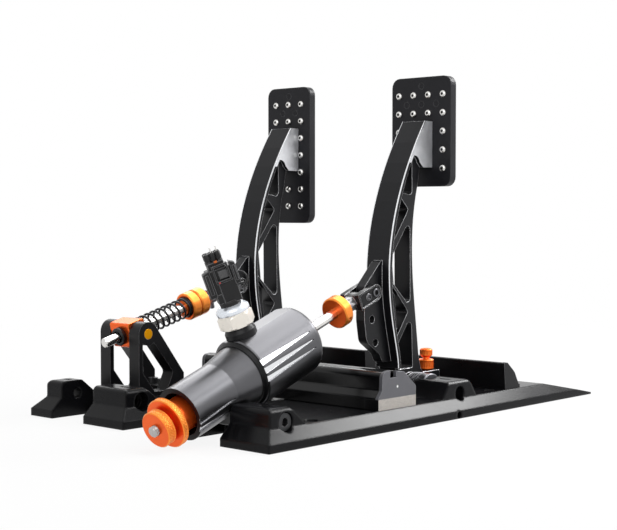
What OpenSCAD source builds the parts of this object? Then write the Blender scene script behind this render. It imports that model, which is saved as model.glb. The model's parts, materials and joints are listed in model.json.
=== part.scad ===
// Racing pedal set: a brake with a hydraulic cylinder and a throttle with a spring strut.
// Millimetres. X runs across with the throttle at +X, Y runs forward from the driver, Z is up.
// The origin is on the floor, at the centre of the four outer rig bolts.

/* [Base modules] */
// Width of one base module
base_w = 116.5; // [112:0.5:126]
// Gap between the two base modules
base_gap = 38; // [30:1:60]
// Rig-bolt centre to the nose
nose_reach = 174; // [168:1:184]
// Rig-bolt centre to the heel tip
heel_reach = 250; // [240:1:275]
// Height of the vertical plinth
plinth_h = 6; // [5:0.5:7]
// Height of the deck above the floor
deck_h = 15; // [14:0.25:16]
// Run of the sloped rail along each long side
rail_run = 8.5; // [7:0.5:10]
// Run of the slope at the nose
nose_run = 10; // [8:0.5:12]
// Length of the ramp at the heel
ramp_l = 67; // [55:1:80]
// Thickness of the heel tip
tip_h = 1.6; // [1.2:0.1:3]
// Width of the wide nose block
wide_block_w = 48.5; // [46:0.5:52]
// Width of the slot between the nose blocks
slot_w = 40; // [39.5:0.5:43]
// Length of the slot from the nose
slot_l = 44; // [40:1:46]
// Height of the nose blocks and bosses
block_h = 29; // [28:0.5:32]
// Length of a nose block along its top
block_top_l = 16; // [14:0.5:19]
// Rounding of the block edges
block_round = 4.5; // [3:0.5:5]
// Radius of the rig bolt holes
rig_hole_r = 5.25; // [4.5:0.25:6]
// Rig hole to the outer long side
rig_inset = 16.8; // [15:0.2:19]
// Half the distance between the front and rear rig holes
rig_y = 112; // [106:1:115]
// Thickness left under the pedal well
well_floor = 2.5; // [2:0.25:3]

/* [Heel stop] */
// Heel wall behind the rig-bolt centre
heel_wall_y = 126; // [121:1:140]
// Height of the heel wall above the floor
heel_wall_h = 38; // [32:1:46]
// Thickness of the heel wall and its end gussets
heel_wall_t = 4; // [3:0.5:6]
// Length of the foot of the heel wall
heel_foot_l = 22; // [18:1:30]

/* [Pedal pivot] */
// Pivot behind the rig-bolt centre
pivot_back = 59; // [56:0.5:62]
// Height of the pivot axis
pivot_z = 18.5; // [17.5:0.25:20]
// Diameter of the pivot axle
axle_d = 12; // [10:0.5:13]
// Length of the boss foot along the base
boss_foot_l = 46; // [44:1:50]
// Length of the boss top
boss_top_l = 22; // [20:1:26]
// Width of the boss beside the wide block
boss_w = 35; // [32:1:37]
// Outside diameter of the ribbed sleeve
sleeve_d = 28; // [26:0.5:30]
// Number of ribs on the sleeve
sleeve_ribs = 5; // [4:1:7]
// Depth of the sleeve socket in the boss
sleeve_seat = 6; // [4:0.5:8]

/* [Pedal arm] */
// Width of the arm across its front flange and head
arm_w = 24; // [23:0.5:27]
// Width of the truss behind the flange
truss_w = 17; // [14:0.5:20]
// Thickness of the front flange
flange_t = 4; // [3:0.25:5]
// Radius of the pivot hub
hub_r = 13.4; // [12:0.2:14]
// Pivot axis to the top of the head
head_h = 224.5; // [215:0.5:235]
// Pivot axis to the plate face, towards the driver
plate_back = 25; // [23:0.5:28]
// Thickness of the linkage fin
fin_t = 9; // [8:0.25:10]
// Clevis pin in front of the pivot
pin_dy = 46; // [45:0.25:47]
// Clevis pin above the pivot
pin_dz = 82.3; // [81:0.25:84]
// Wall thickness of the arm bushes
bush_wall = 2; // [1.5:0.25:2.5]

/* [Pedal plates] */
// Width of the brake plate
brake_plate_w = 63; // [58:1:70]
// Height of the brake plate
brake_plate_h = 93; // [85:1:100]
// Width of the throttle plate
throttle_plate_w = 53; // [49:1:60]
// Height of the throttle plate
throttle_plate_h = 125; // [115:1:135]
// Top of both plates above the top of the head
plate_over = 38; // [34:1:42]
// Thickness of the plates
plate_t = 7; // [5:0.5:8]
// Corner radius of the plates
plate_round = 8; // [5:0.5:10]
// Pitch of the grip studs
stud_pitch = 15.6; // [14.5:0.1:16.5]
// Diameter of a stud head
stud_head_d = 6.2; // [5.5:0.1:7]
// Diameter of a stud shank
stud_d = 4; // [3:0.1:4.5]

/* [Stop screws] */
// Stop screw behind the pivot
stop_back = 33; // [31:0.5:36]
// Diameter of the stop screw
stop_d = 6; // [5:0.25:6.5]
// Height of the lug top above the pivot axis
lug_top = 12; // [11:0.25:13]
// Thickness of the stop lug
lug_t = 8.5; // [7:0.25:9]
// Diameter of the lock wheel
lock_wheel_d = 13.5; // [12:0.25:15]
// Height of the lock wheel
lock_wheel_h = 9; // [7:0.5:10]
// Diameter of the screw's knob
stop_knob_d = 11; // [9.5:0.25:12.5]
// Height of the screw's knob
stop_knob_h = 7; // [5:0.5:9]
// Space between the lock wheel and the knob
stop_neck = 2; // [1.5:0.25:3]

/* [Clevis joints] */
// Diameter of the clevis pins
pin_d = 8; // [7:0.25:9]
// Half height of the fork, which is also its end radius
fork_r = 7; // [6.5:0.25:8]
// Thickness of a fork cheek
cheek_t = 5; // [4:0.25:6]
// Side clearance between the fork and the fin
fork_gap = 0.6; // [0.4:0.1:1]
// Pin axis to the fork's bridge
bridge_at = 14.5; // [14:0.25:15]
// Length of the bridge
bridge_l = 7.5; // [6:0.5:9]
// Diameter of the coupling behind the bridge
coupling_d = 13; // [12:0.5:14]
// Length of the coupling
coupling_l = 13; // [11:0.5:15]
// Diameter of both push rods
rod_d = 8; // [7:0.25:9]

/* [Brake cylinder] */
// Slope of the cylinder, nose down
brake_tilt = 20.6; // [20.2:0.1:21]
// Diameter of the rear barrel
rear_d = 55; // [53:0.5:57]
// Rear face of the rear barrel to the swing bolt, along the axis
lug_at = 89.7; // [88:0.1:92]
// Length of the rear barrel
rear_l = 65; // [62:0.5:68]
// Diameter of the bore in the rear barrel
bore_d = 40; // [38:0.5:42]
// Diameter of the front barrel
front_d = 41; // [40.5:0.25:42]
// Growth of the front barrel's radius at its neck, behind the taper
neck_grow = 3; // [2:0.25:3.5]
// Length of the front barrel in front of the rear barrel
front_l = 66; // [64:0.5:69]
// Radius of the damper chamber
chamber_r = 11.4; // [10:0.2:12]
// Radius of the mouth of the front barrel
mouth_r = 16.6; // [16:0.2:17]
// Depth of the mouth
mouth_l = 17; // [15:0.5:19]
// Width of the polished flutes at their open end
flute_w = 4.6; // [3.5:0.1:5.5]
// Depth of the polished flutes
flute_depth = 1; // [0.8:0.1:1.4]
// Diameter of the bolt the cylinder swings on
swing_bolt_d = 8; // [7:0.25:9]
// Swing bolt behind the nose
swing_inset = 26; // [25:0.25:27]
// Height of the swing bolt axis
swing_z = 18.5; // [18:0.25:19]
// Radius of the lug round the swing bolt
swing_lug_r = 8; // [7.5:0.25:9]
// Diameter of the orange collar on the rod
collar_d = 26; // [23:0.5:29]
// Length of the orange collar
collar_l = 9; // [7:0.5:11]
// Diameter of the preload cup
cup_d = 26; // [24:0.5:29]
// Diameter of the preload ring
preload_d = 37; // [34:0.5:38]
// Length of the preload ring
preload_l = 5; // [4:0.5:7]
// Diameter of the lock knob
knob_d = 27; // [24:0.5:28]
// Length of the lock knob
knob_l = 9; // [7:0.5:10]
// Diameter of the preload stud
stud_rod_d = 8; // [7:0.25:9]

/* [Pressure sensor] */
// Rear face of the rear barrel to the sensor axis
sensor_back = 52; // [49:0.5:53]
// Lean of the sensor about the cylinder axis, towards the throttle
sensor_lean = 6.5; // [0:0.5:10]
// Diameter of the sensor port
port_d = 24; // [22:0.5:25]
// Cylinder axis to the top of the port
port_top = 34; // [32:0.5:37]
// Hexagon of the sensor across its flats
hex_af = 24; // [20:0.5:25]
// Height of the hexagon
hex_h = 13; // [11:0.5:15]
// Height of the plug above the hexagon
plug_h = 44; // [40:1:48]
// Turn of the plug about the sensor axis
plug_turn = -35; // [-45:1:-25]

/* [Throttle strut] */
// Tower pin behind the nose
tower_inset = 64; // [62:0.5:66]
// Height of the tower pin
tower_pin_z = 66.7; // [65:0.25:69]
// Radius of the tower head
tower_head_r = 10; // [9:0.25:11]
// Width of one tower frame
tower_t = 12.4; // [11:0.2:14]
// Gap between the tower frames
tower_gap = 24.2; // [22:0.2:26]
// Tower pin to the heel of the rear foot
tower_foot_back = 39; // [37:0.5:42]
// Height of the rear foot above the deck
tower_foot_h = 17; // [15:0.5:19]
// Depth of the upright front leg
tower_leg = 4; // [3:0.25:5]
// Thickness of the sloped rear leg
tower_rear_leg = 8.5; // [7.5:0.25:10]
// Diameter of the block pins
block_pin_d = 8.5; // [7:0.25:10]
// Length of the spring block
block_l = 17; // [15:0.5:19]
// Height of the spring block
block_tall = 21; // [19:0.5:23]
// Mean diameter of the return spring
spring_d = 16.2; // [15:0.2:17]
// Diameter of the spring wire
wire_d = 1.9; // [1.6:0.1:2.1]
// Turns of the return spring
spring_turns = 10; // [7:1:10]
// Clevis pin to the preload ring's spring face
ring_at = 62; // [60:0.5:65]
// Diameter of the throttle preload ring
ring_d = 24; // [23:0.5:27]
// Depth of the spring seat in the preload ring
ring_seat = 3; // [2:0.5:4]
// Length of each throttle ring
ring_l = 9.5; // [8:0.25:10]
// Rod beyond the tower pin
rod_out = 27.5; // [25:0.5:32]

/* [Crossbar] */
// Rear face of the crossbar behind the rig-bolt centre
bar_back = 1; // [0:0.5:3]
// Depth of the crossbar
bar_depth = 46; // [43:0.5:49]
// Height of the crossbar
bar_h = 30; // [27:0.5:33]
// Height of the metal foot under each end
bar_foot_h = 8.5; // [7:0.25:10]
// Wall of the crossbar housing
bar_wall = 2.6; // [2:0.1:3.2]
// Thickness of the end caps
cap_t = 3; // [2:0.25:4]

/* [Hidden] */
$fn = 64;
// Clearance of a turning fit, radius
run_fit = 0.05;
// Clearance between parts that pass each other
clear = 0.4;
// Overcut that keeps a cutting tool through a face
eps = 1;
// Room for the brake rod to swing in its gland, and the throttle rod in its bush
gland_fit = 0.35;
bush_fit = 1.1;

base_x = [-base_gap / 2 - base_w, base_gap / 2];
slot_c = wide_block_w + slot_w / 2;
brake_x = base_x[0] + slot_c;
throttle_x = base_x[1] + slot_c;
rig_x = base_x[1] + base_w - rig_inset;
pivot_y = -pivot_back;
pin_y = pivot_y + pin_dy;
pin_z = pivot_z + pin_dz;
swing_y = nose_reach - swing_inset;
tower_y = nose_reach - tower_inset;

// Blocks, bosses and the well in one base's own x
block_back_y = nose_reach - nose_run - block_top_l - 2 * block_round;
block_slope = block_h - deck_h;
boss_x0 = rail_run;
boss_x1 = boss_x0 + boss_w;
narrow_x0 = wide_block_w + slot_w;
narrow_x1 = base_w - rail_run;
arm_x0 = slot_c - arm_w / 2;
arm_x1 = slot_c + arm_w / 2;
well_l = boss_foot_l - 4;
head_seat = 9.5;
bolt_head_d = 1.63 * swing_bolt_d;
bolt_head_l = swing_bolt_d;
nut_l = 6.5;
axle_inset = 9;

// Rib and groove sizes
rib_depth = 1.6;
small_hole_r = 1.5;
small_hole_l = 6;
mark = [11, 3.2, 0.6];
block_mark_y = nose_reach - nose_run - block_round - block_top_l / 2;
cable_notch_r = 3;

// Arm curves, pivot at the origin, as [y, z] control points
head_bottom = head_h - 39;
head_top_l = 10.3;
drawn_h = 224.5;
arm_k = head_h / drawn_h;
front_curve = [
    [20.3, 18.4], [20.6, 47.8 * arm_k], [64.4, 112.7 * arm_k], [head_top_l - plate_back, head_h]
];
rear_curve = [[-11.4, 26.5], [-6.8, 70 * arm_k], [5.2, 120 * arm_k], [-8.8, head_bottom - 17]];
curve_n = 18;
head_first = 14;
notch_c = [-1, head_bottom + 2.4];
notch_r = 7.2;
// Truss windows as [y, z, corner radius], drawn for an arm of the drawn height
windows = [
    [[-1.5, 195, 2], [12, 197, 1], [26, 167, 1], [-2.2, 161.5, 4]],
    [[22, 168, 1], [2.8, 150, 2.5], [32, 111.6, 1]],
    [[0.6, 143, 3.5], [34, 99, 1], [0, 68, 3.5]],
    [[34, 98, 1], [3, 64.5, 2.5], [30, 28.3, 1]],
    [[-1.5, 62, 3.5], [28, 22.5, 1], [15, 17, 2], [-3.5, 17, 2]]
];
// Linkage fin as [y, z, corner radius], and its spare holes
fin_outline = [
    [10, 24, 1], [32, 24, 3], [36, 31, 4], [52, 42, 8], [55, 60, 8], [55, 87, 2], [35, 107, 6], [20, 112, 1]
];
fin_holes = [[45.4, 60.1], [40.8, 40.8]];
fin_hole_r = 3.2;
lug_end = stop_back + 8;

fork_w = fin_t + 2 * fork_gap + 2 * cheek_t;
fork_l = bridge_at + bridge_l;
rod_from = fork_l + 2;
collar_at = fork_l + coupling_l;

// Brake cylinder stations, measured from the clevis pin along the axis
swing_along = (swing_y - pin_y) * cos(brake_tilt) - (swing_z - pin_z) * sin(brake_tilt);
swing_below = -((swing_y - pin_y) * sin(brake_tilt) + (swing_z - pin_z) * cos(brake_tilt));
rear_at = swing_along - lug_at;
sensor_at = rear_at + sensor_back;
rear_end = rear_at + rear_l;
front_end = rear_end + front_l;
rear_wall = 8;
piston_l = 10;
piston_at = rear_at + rear_wall + 4;
shoulder_l = 3;
neck_r = front_d / 2 + neck_grow;
spigot_l = 6;
cup_out = 9.5;
cup_at = front_end - mouth_l + clear;
preload_at = front_end + cup_out + clear;
knob_at = preload_at + preload_l + 2 * clear;
stud_end = knob_at + knob_l + 3.5;
chamber_at = rear_end + 14;
chamber_l = front_end - mouth_l - chamber_at;
damper_n = 3;
flat_top = rear_d / 2 - 1.5;
lug_w = slot_w - 6;

// Throttle strut stations, measured from the clevis pin along the rod
throttle_tilt = atan2(pin_z - tower_pin_z, tower_y - pin_y);
tower_along = norm([tower_y - pin_y, pin_z - tower_pin_z]);
block_from = tower_along - block_l / 2;
block_to = tower_along + block_l / 2;
bush_r = rod_d / 2 + bush_fit;
bush_sleeve = 1.6;
bush_flange_l = 4;
spring_play = 0.3;
spring_from = ring_at - ring_seat + wire_d / 2 + spring_play;
spring_to = block_from - wire_d / 2 - spring_play;
lock_ring_at = ring_at - 2 * ring_l - 2 * clear;

// Crossbar outline as [y, z, corner radius], from the deck up
bar_y0 = -bar_back;
bar_y1 = bar_y0 + bar_depth;
bar_z1 = deck_h + bar_h;
bar_x = [-rig_x - 8, throttle_x - arm_w / 2 - 2];
bar_c = (bar_x[0] + bar_x[1]) / 2;
bar_outline = [
    [bar_y0, deck_h, 0.5], [bar_y1, deck_h, 0.5], [bar_y1, deck_h + bar_foot_h + 1, 1],
    [bar_y1 - 4.5, deck_h + bar_foot_h + 6.5, 2], [bar_y1 - 5, bar_z1 - 1, 5],
    [bar_y1 - 14, bar_z1, 4], [bar_y0 + 15, bar_z1 - 2, 3], [bar_y0, deck_h + bar_foot_h + 7, 2]
];

// Shared geometry

function arc(c, r, from, to, n = 10) =
    [for (i = [0:n]) c + r * [cos(from + (to - from) * i / n), sin(from + (to - from) * i / n)]];

function bezier(p, t) =
    pow(1 - t, 3) * p[0] + 3 * pow(1 - t, 2) * t * p[1] + 3 * (1 - t) * t * t * p[2] + pow(t, 3) * p[3];

function curve(p, from, to, n = curve_n) = [for (i = [0:n]) bezier(p, from + (to - from) * i / n)];

function unit(v) = v / norm(v);

// One corner of an outline, as an arc of radius r between its two edges
function fillet(a, b, c, r, n = 5) =
    let (
        u = unit(a - b),
        v = unit(c - b),
        half = acos(u * v) / 2,
        m = b + unit(u + v) * r / sin(half),
        s = b + u * r / tan(half) - m,
        e = b + v * r / tan(half) - m,
        a0 = atan2(s[1], s[0]),
        turn = atan2(s[0] * e[1] - s[1] * e[0], s * e)
    )
    [for (i = [0:n]) m + r * [cos(a0 + turn * i / n), sin(a0 + turn * i / n)]];

// Outline of [x, y, radius] corners
function rounded(p) =
    let (n = len(p), q = [for (v = p) [v[0], v[1]]])
    [for (i = [0:n - 1]) each fillet(q[(i + n - 1) % n], q[i], q[(i + 1) % n], p[i][2])];

// A (y, z) outline extruded along x
module along_x(x0, x1) {
    translate([x0, 0, 0]) rotate([90, 0, 90]) linear_extrude(x1 - x0) children();
}

// An (x, z) outline extruded along y
module along_y(y0, y1) {
    translate([0, y1, 0]) rotate([90, 0, 0]) linear_extrude(y1 - y0) children();
}

module x_cylinder(r, x0, x1, y, z) {
    translate([x0, y, z]) rotate([0, 90, 0]) cylinder(r = r, h = x1 - x0);
}

// Frame of a push rod: z runs forward from the clevis pin, -y is up
module on_strut(x, tilt) {
    translate([x, pin_y, pin_z]) rotate([-(90 + tilt), 0, 0]) children();
}

module on_brake() {
    on_strut(brake_x, brake_tilt) children();
}

module on_throttle() {
    on_strut(throttle_x, throttle_tilt) children();
}

module on_sensor() {
    on_brake() translate([0, 0, sensor_at]) rotate([0, 0, sensor_lean]) rotate([90, 0, 0]) children();
}

module ring(r_in, r_out, l, c = 0.8) {
    rotate_extrude()
        polygon([[r_in, 0], [r_out - c, 0], [r_out, c], [r_out, l - c], [r_out - c, l], [r_in, l]]);
}

module hex_socket(af, depth) {
    cylinder(d = af / cos(30), h = depth, $fn = 6);
}

// Base modules

module nose_block(x0, x1) {
    y1 = nose_reach - nose_run;
    along_x(x0, x1) polygon(rounded([
        [block_back_y - block_slope, 0, 0.5], [nose_reach, 0, 0.5], [nose_reach, plinth_h, 0.8],
        [y1, deck_h + 1, 2], [y1, block_h, block_round],
        [block_back_y + block_round, block_h, 3], [block_back_y - block_slope, deck_h - 1, 0.5]
    ]));
}

module boss(x0, x1) {
    foot = boss_foot_l / 2;
    top = boss_top_l / 2 + block_round / 2;
    along_x(x0, x1) polygon(rounded([
        [pivot_y - foot, plinth_h, 0.5], [pivot_y + foot, plinth_h, 0.5],
        [pivot_y + foot, deck_h, 1], [pivot_y + top, block_h, block_round],
        [pivot_y - top, block_h, block_round], [pivot_y - foot, deck_h, 1]
    ]));
}

module base_slab() {
    intersection() {
        along_y(-heel_reach, nose_reach) polygon([
            [0, 0], [base_w, 0], [base_w, plinth_h], [base_w - rail_run, deck_h],
            [rail_run, deck_h], [0, plinth_h]
        ]);
        along_x(0, base_w) polygon([
            [-heel_reach, 0], [nose_reach, 0], [nose_reach, plinth_h], [nose_reach - nose_run, deck_h],
            [ramp_l - heel_reach, deck_h], [-heel_reach, tip_h]
        ]);
    }
}

// Upright section that gives the blocks and bosses their sloped rails and rounded shoulders
module shoulders() {
    along_y(-heel_reach, nose_reach) polygon(rounded([
        [0, 0, 0.5], [base_w, 0, 0.5], [base_w, plinth_h, 0.5], [base_w - rail_run, deck_h, 1],
        [base_w - rail_run, block_h, block_round], [rail_run, block_h, block_round],
        [rail_run, deck_h, 1], [0, plinth_h, 0.5]
    ]));
}

module base_body() {
    difference() {
        union() {
            base_slab();
            intersection() {
                shoulders();
                union() {
                    nose_block(0, wide_block_w);
                    nose_block(narrow_x0, base_w);
                    boss(boss_x0, boss_x1);
                    boss(narrow_x0, narrow_x1);
                }
            }
        }
        base_cuts();
    }
}

module base_cuts() {
    // Slot between the nose blocks
    translate([wide_block_w, nose_reach - slot_l, -eps]) cube([slot_w, slot_l + eps, block_h + 2 * eps]);
    // Well for the hub of the arm
    translate([boss_x1, pivot_y - well_l / 2, well_floor])
        cube([narrow_x0 - boss_x1, well_l, block_h]);
    // Socket of the ribbed sleeve
    x_cylinder(sleeve_d / 2 + run_fit, boss_x1 - sleeve_seat, boss_x1 + eps, pivot_y, pivot_z);
    // Pivot axle
    x_cylinder(axle_d / 2 + run_fit, -eps, base_w - axle_inset, pivot_y, pivot_z);
    // Swing bolt, its head and its nut
    x_cylinder(swing_bolt_d / 2 + run_fit, -eps, base_w + eps, swing_y, swing_z);
    x_cylinder(bolt_head_d / 2 + 0.75, -eps, head_seat + bolt_head_l, swing_y, swing_z);
    x_cylinder(swing_bolt_d, narrow_x1 - nut_l - 1, base_w + eps, swing_y, swing_z);
    // Rig holes
    for (x = [rig_inset, base_w - rig_inset], y = [-rig_y, rig_y])
        translate([x, y, -eps]) cylinder(r = rig_hole_r, h = deck_h + 2 * eps);
    // Small fixing holes in the deck
    for (x = [wide_block_w - 13, wide_block_w + 1, narrow_x0 + 12], y = [bar_y1 + 10, bar_y1 + 24])
        translate([x, y, deck_h - small_hole_l]) cylinder(r = small_hole_r, h = small_hole_l + eps);
    // Shallow slots in the tops of the blocks and bosses
    for (x = [wide_block_w / 2, (narrow_x0 + narrow_x1) / 2], y = [pivot_y, block_mark_y])
        translate([x - mark[0] / 2, y - mark[1] / 2, block_h - mark[2]]) cube(mark + [0, 0, eps]);
    // Cable notch in each long side
    for (x = [-eps, base_w - rail_run])
        x_cylinder(cable_notch_r, x, x + rail_run + eps, pivot_y + 12, cable_notch_r);
}

module brake_base() {
    color("#26272a") translate([base_x[0], 0, 0]) base_body();
}

module throttle_base() {
    color("#26272a") translate([base_x[1], 0, 0]) base_body();
}

module heel_stop(x0) {
    x1 = rail_run + 1;
    x2 = base_w - rail_run - 1;
    y0 = -heel_wall_y;
    difference() {
        union() {
            along_x(x0 + x1, x0 + x2) polygon(rounded([
                [y0, deck_h, 0.5], [y0 + 2, heel_wall_h, 1.2], [y0 + 2 - heel_wall_t, heel_wall_h, 1.2],
                [y0 - heel_wall_t, deck_h + heel_wall_t, 2],
                [y0 - heel_foot_l, deck_h + heel_wall_t - 1, 0.8], [y0 - heel_foot_l, deck_h, 0.5]
            ]));
            for (x = [x0 + x1, x0 + x2 - heel_wall_t])
                along_x(x, x + heel_wall_t) polygon(rounded([
                    [y0 - 0.5, deck_h, 0.5], [y0 + 1.5, heel_wall_h, 1], [y0 - 3, heel_wall_h, 1],
                    [y0 - 14, deck_h + 14, 14], [y0 - heel_foot_l, deck_h, 0.5]
                ]));
        }
        for (x = [x0 + base_w / 3, x0 + base_w * 2 / 3])
            translate([x, y0 - heel_foot_l / 2 - heel_wall_t / 2, deck_h - eps])
                cylinder(r = small_hole_r, h = heel_wall_t + 2 * eps);
    }
}

module brake_heel_stop() {
    color("#1d1e20") heel_stop(base_x[0]);
}

module throttle_heel_stop() {
    color("#1d1e20") heel_stop(base_x[1]);
}

// Pivot axles and sleeves

module axle(x0) {
    x_cylinder(axle_d / 2, x0 + rail_run + axle_inset, x0 + base_w - axle_inset, pivot_y, pivot_z);
}

module brake_axle() {
    color("silver") axle(base_x[0]);
}

module throttle_axle() {
    color("silver") axle(base_x[1]);
}

module axle_sleeves(x0) {
    l = arm_x0 - clear - (boss_x1 - sleeve_seat);
    pitch = (l - sleeve_seat) / sleeve_ribs;
    r = sleeve_d / 2;
    groove = [for (i = [0:sleeve_ribs - 1]) sleeve_seat + pitch * (i + 0.5)];
    translate([x0 + boss_x1 - sleeve_seat, pivot_y, pivot_z]) rotate([0, 90, 0]) difference() {
        ring(axle_d / 2 + run_fit, r, l);
        for (z = groove)
            translate([0, 0, z - pitch / 4]) ring(r - rib_depth, r + eps, pitch / 2, 0);
    }
    translate([x0 + arm_x1 + clear, pivot_y, pivot_z]) rotate([0, 90, 0])
        ring(axle_d / 2 + run_fit, axle_d / 2 + 5, narrow_x0 - arm_x1 - clear);
}

module brake_axle_sleeves() {
    color("#5a5b5e") axle_sleeves(base_x[0]);
}

module throttle_axle_sleeves() {
    color("#5a5b5e") axle_sleeves(base_x[1]);
}

// Crossbar

module bar_section() {
    polygon(rounded(bar_outline));
}

module bar_inner() {
    w = bar_wall;
    polygon(rounded([
        [bar_y0 + w, deck_h + w, 1], [bar_y1 - w, deck_h + w, 1], [bar_y1 - w, deck_h + bar_foot_h, 1],
        [bar_y1 - 5 - w, deck_h + bar_foot_h + 6, 1], [bar_y1 - 5 - w, bar_z1 - 5 - w, 2],
        [bar_y1 - 14 - w, bar_z1 - w, 2], [bar_y0 + 15 + w, bar_z1 - 2 - w, 2],
        [bar_y0 + w, deck_h + bar_foot_h + 6, 1]
    ]));
}

module bar_foot_block(x0, x1) {
    translate([x0, bar_y0 - eps, deck_h - eps])
        cube([x1 - x0, bar_depth + 2 * eps, bar_foot_h + eps]);
}

bar_foot_l = 14;
bar_foot_x = [bar_x[0], bar_x[1] - bar_foot_l];
cap_x = [bar_x[0], bar_x[1] - cap_t];
led_r = 1;
led_y = bar_y0 + bar_depth / 2;
led_z = deck_h + bar_foot_h + 8.5;
board_z = deck_h + bar_wall + 3;
board_t = 1.6;
screw_x = [brake_x, bar_x[1] - 24];
bar_screw_r = 2;
usb_x = 0;
usb_w = 12;
usb_h = 11;

module crossbar_housing() {
    color("#121314") difference() {
        along_x(bar_x[0] + cap_t, bar_x[1] - cap_t) bar_section();
        along_x(bar_x[0], bar_x[1]) bar_inner();
        for (x = bar_foot_x)
            bar_foot_block(x, x + bar_foot_l);
        for (x = screw_x)
            translate([x, bar_y0 + bar_depth / 2, deck_h - eps])
                cylinder(r = bar_screw_r + run_fit, h = bar_wall + 2 * eps);
        translate([usb_x - usb_w / 2 - 0.2, bar_y1 - bar_depth / 3, deck_h + 6])
            cube([usb_w + 0.4, bar_depth, usb_h + 0.4]);
    }
}

module crossbar_end_caps() {
    notch_w = 7.5;
    notch_d = 6;
    color("#6d6e72") for (x = cap_x) difference() {
        along_x(x, x + cap_t) bar_section();
        bar_foot_block(x - eps, x + cap_t + eps);
        translate([x - eps, bar_y1 - 14 - notch_w, bar_z1 - notch_d])
            cube([cap_t + 2 * eps, notch_w, notch_d + eps]);
        x_cylinder(led_r, x - eps, x + cap_t + eps, led_y, led_z);
    }
}

module crossbar_feet() {
    color("#c9c6c0") for (x = bar_foot_x)
        translate([x, bar_y0, deck_h]) cube([bar_foot_l, bar_depth, bar_foot_h]);
}

module status_light() {
    color("white") for (x = cap_x) x_cylinder(led_r, x, x + cap_t, led_y, led_z);
}

module control_board() {
    board_l = 120;
    chip = [14, 12, 2.2];
    post_r = 3;
    board_w = bar_depth - 2 * bar_wall - 4;
    post_h = board_z - deck_h - bar_wall;
    color("darkgreen") {
        translate([bar_c - board_l / 2, bar_y0 + bar_wall + 2, board_z]) cube([board_l, board_w, board_t]);
        for (x = [bar_c - board_l / 5, bar_c + board_l / 5])
            translate([x, bar_y0 + bar_depth / 2, board_z - post_h])
                cylinder(r = post_r, h = post_h + board_t / 2);
        for (x = [-board_l / 3, -board_l / 10, board_l / 4])
            translate([bar_c + x, bar_y0 + bar_depth / 2 - chip[1] / 2, board_z + board_t]) cube(chip);
    }
}

module usb_socket() {
    usb_l = 14;
    color("silver") translate([usb_x - usb_w / 2, bar_y1 - usb_l - 0.5, board_z + board_t]) difference() {
        cube([usb_w, usb_l, usb_h - 1]);
        translate([1.2, usb_l - 10, 1.2]) cube([usb_w - 2.4, 10 + eps, usb_h - 3.4]);
    }
}

module crossbar_screws() {
    color("silver") for (x = screw_x) translate([x, bar_y0 + bar_depth / 2, deck_h + bar_wall]) difference() {
        union() {
            cylinder(r = bar_screw_r * 1.75, h = 2.2);
            translate([0, 0, -bar_wall]) cylinder(r = bar_screw_r, h = bar_wall + eps);
        }
        translate([0, 0, 1]) hex_socket(2.5, 3);
    }
}

// Cylinder swing bolt and throttle tower

module swing_bolt() {
    x0 = base_x[0] + head_seat;
    color("#3a3b3d") difference() {
        union() {
            x_cylinder(bolt_head_d / 2, x0, x0 + bolt_head_l, swing_y, swing_z);
            x_cylinder(swing_bolt_d / 2, x0 + eps, base_x[0] + narrow_x1 - 0.5, swing_y, swing_z);
        }
        translate([x0 - eps, swing_y, swing_z]) rotate([0, 90, 0]) hex_socket(6, 5 + eps);
    }
}

module swing_nut() {
    x1 = base_x[0] + narrow_x1 - 1;
    af = 1.6 * swing_bolt_d;
    color("silver") difference() {
        translate([x1 - nut_l, swing_y, swing_z]) rotate([0, 90, 0]) hex_socket(af, nut_l);
        x_cylinder(swing_bolt_d / 2 + run_fit, x1 - nut_l - eps, x1 + eps, swing_y, swing_z);
    }
}

tower_front = tower_y + tower_head_r;
tower_rear = tower_y - tower_foot_back;
tower_w = tower_gap + 2 * tower_t;
tower_bridge_h = 6;

// The rear leg leaves the heel of the foot and runs on to the round head as a tangent
tower_pin = [tower_y, tower_pin_z];
tower_heel = [tower_rear, deck_h + tower_foot_h];
tower_reach = tower_pin - tower_heel;
tower_slope = atan2(tower_reach[1], tower_reach[0]) + asin(tower_head_r / norm(tower_reach));
tower_sill = 4;
tower_flare = [12.5, 20];

module tower_frame(x0) {
    inner_y = tower_front - tower_leg;
    sill_z = deck_h + tower_sill;
    knee = tower_heel + tower_rear_leg * [sin(tower_slope), -cos(tower_slope)]
        + tower_foot_h / 2 * [cos(tower_slope), sin(tower_slope)];
    difference() {
        union() {
            difference() {
                along_x(x0, x0 + tower_t) polygon(concat(
                    [[tower_rear, deck_h], tower_heel],
                    arc(tower_pin, tower_head_r, 90 + tower_slope, 0, 14), [[tower_front, deck_h]]
                ));
                along_x(x0 - eps, x0 + tower_t + eps) polygon(rounded([
                    [inner_y - tower_flare[0], sill_z, 1], [inner_y, deck_h + tower_flare[1], 2],
                    [inner_y, tower_pin_z - 2, 1], [tower_y, tower_pin_z, 0.5],
                    [knee[0], knee[1], 4], [knee[0] + 7, sill_z, 1]
                ]));
            }
            x_cylinder(tower_head_r - 0.6, x0, x0 + tower_t, tower_y, tower_pin_z);
        }
        x_cylinder(block_pin_d / 2 + run_fit, x0 - eps, x0 + tower_t + eps, tower_y, tower_pin_z);
    }
}

tower_bridge_l = 15;
tower_bolt_y = tower_rear + tower_bridge_l / 2;
tower_bolt_r = 2.5;

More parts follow.
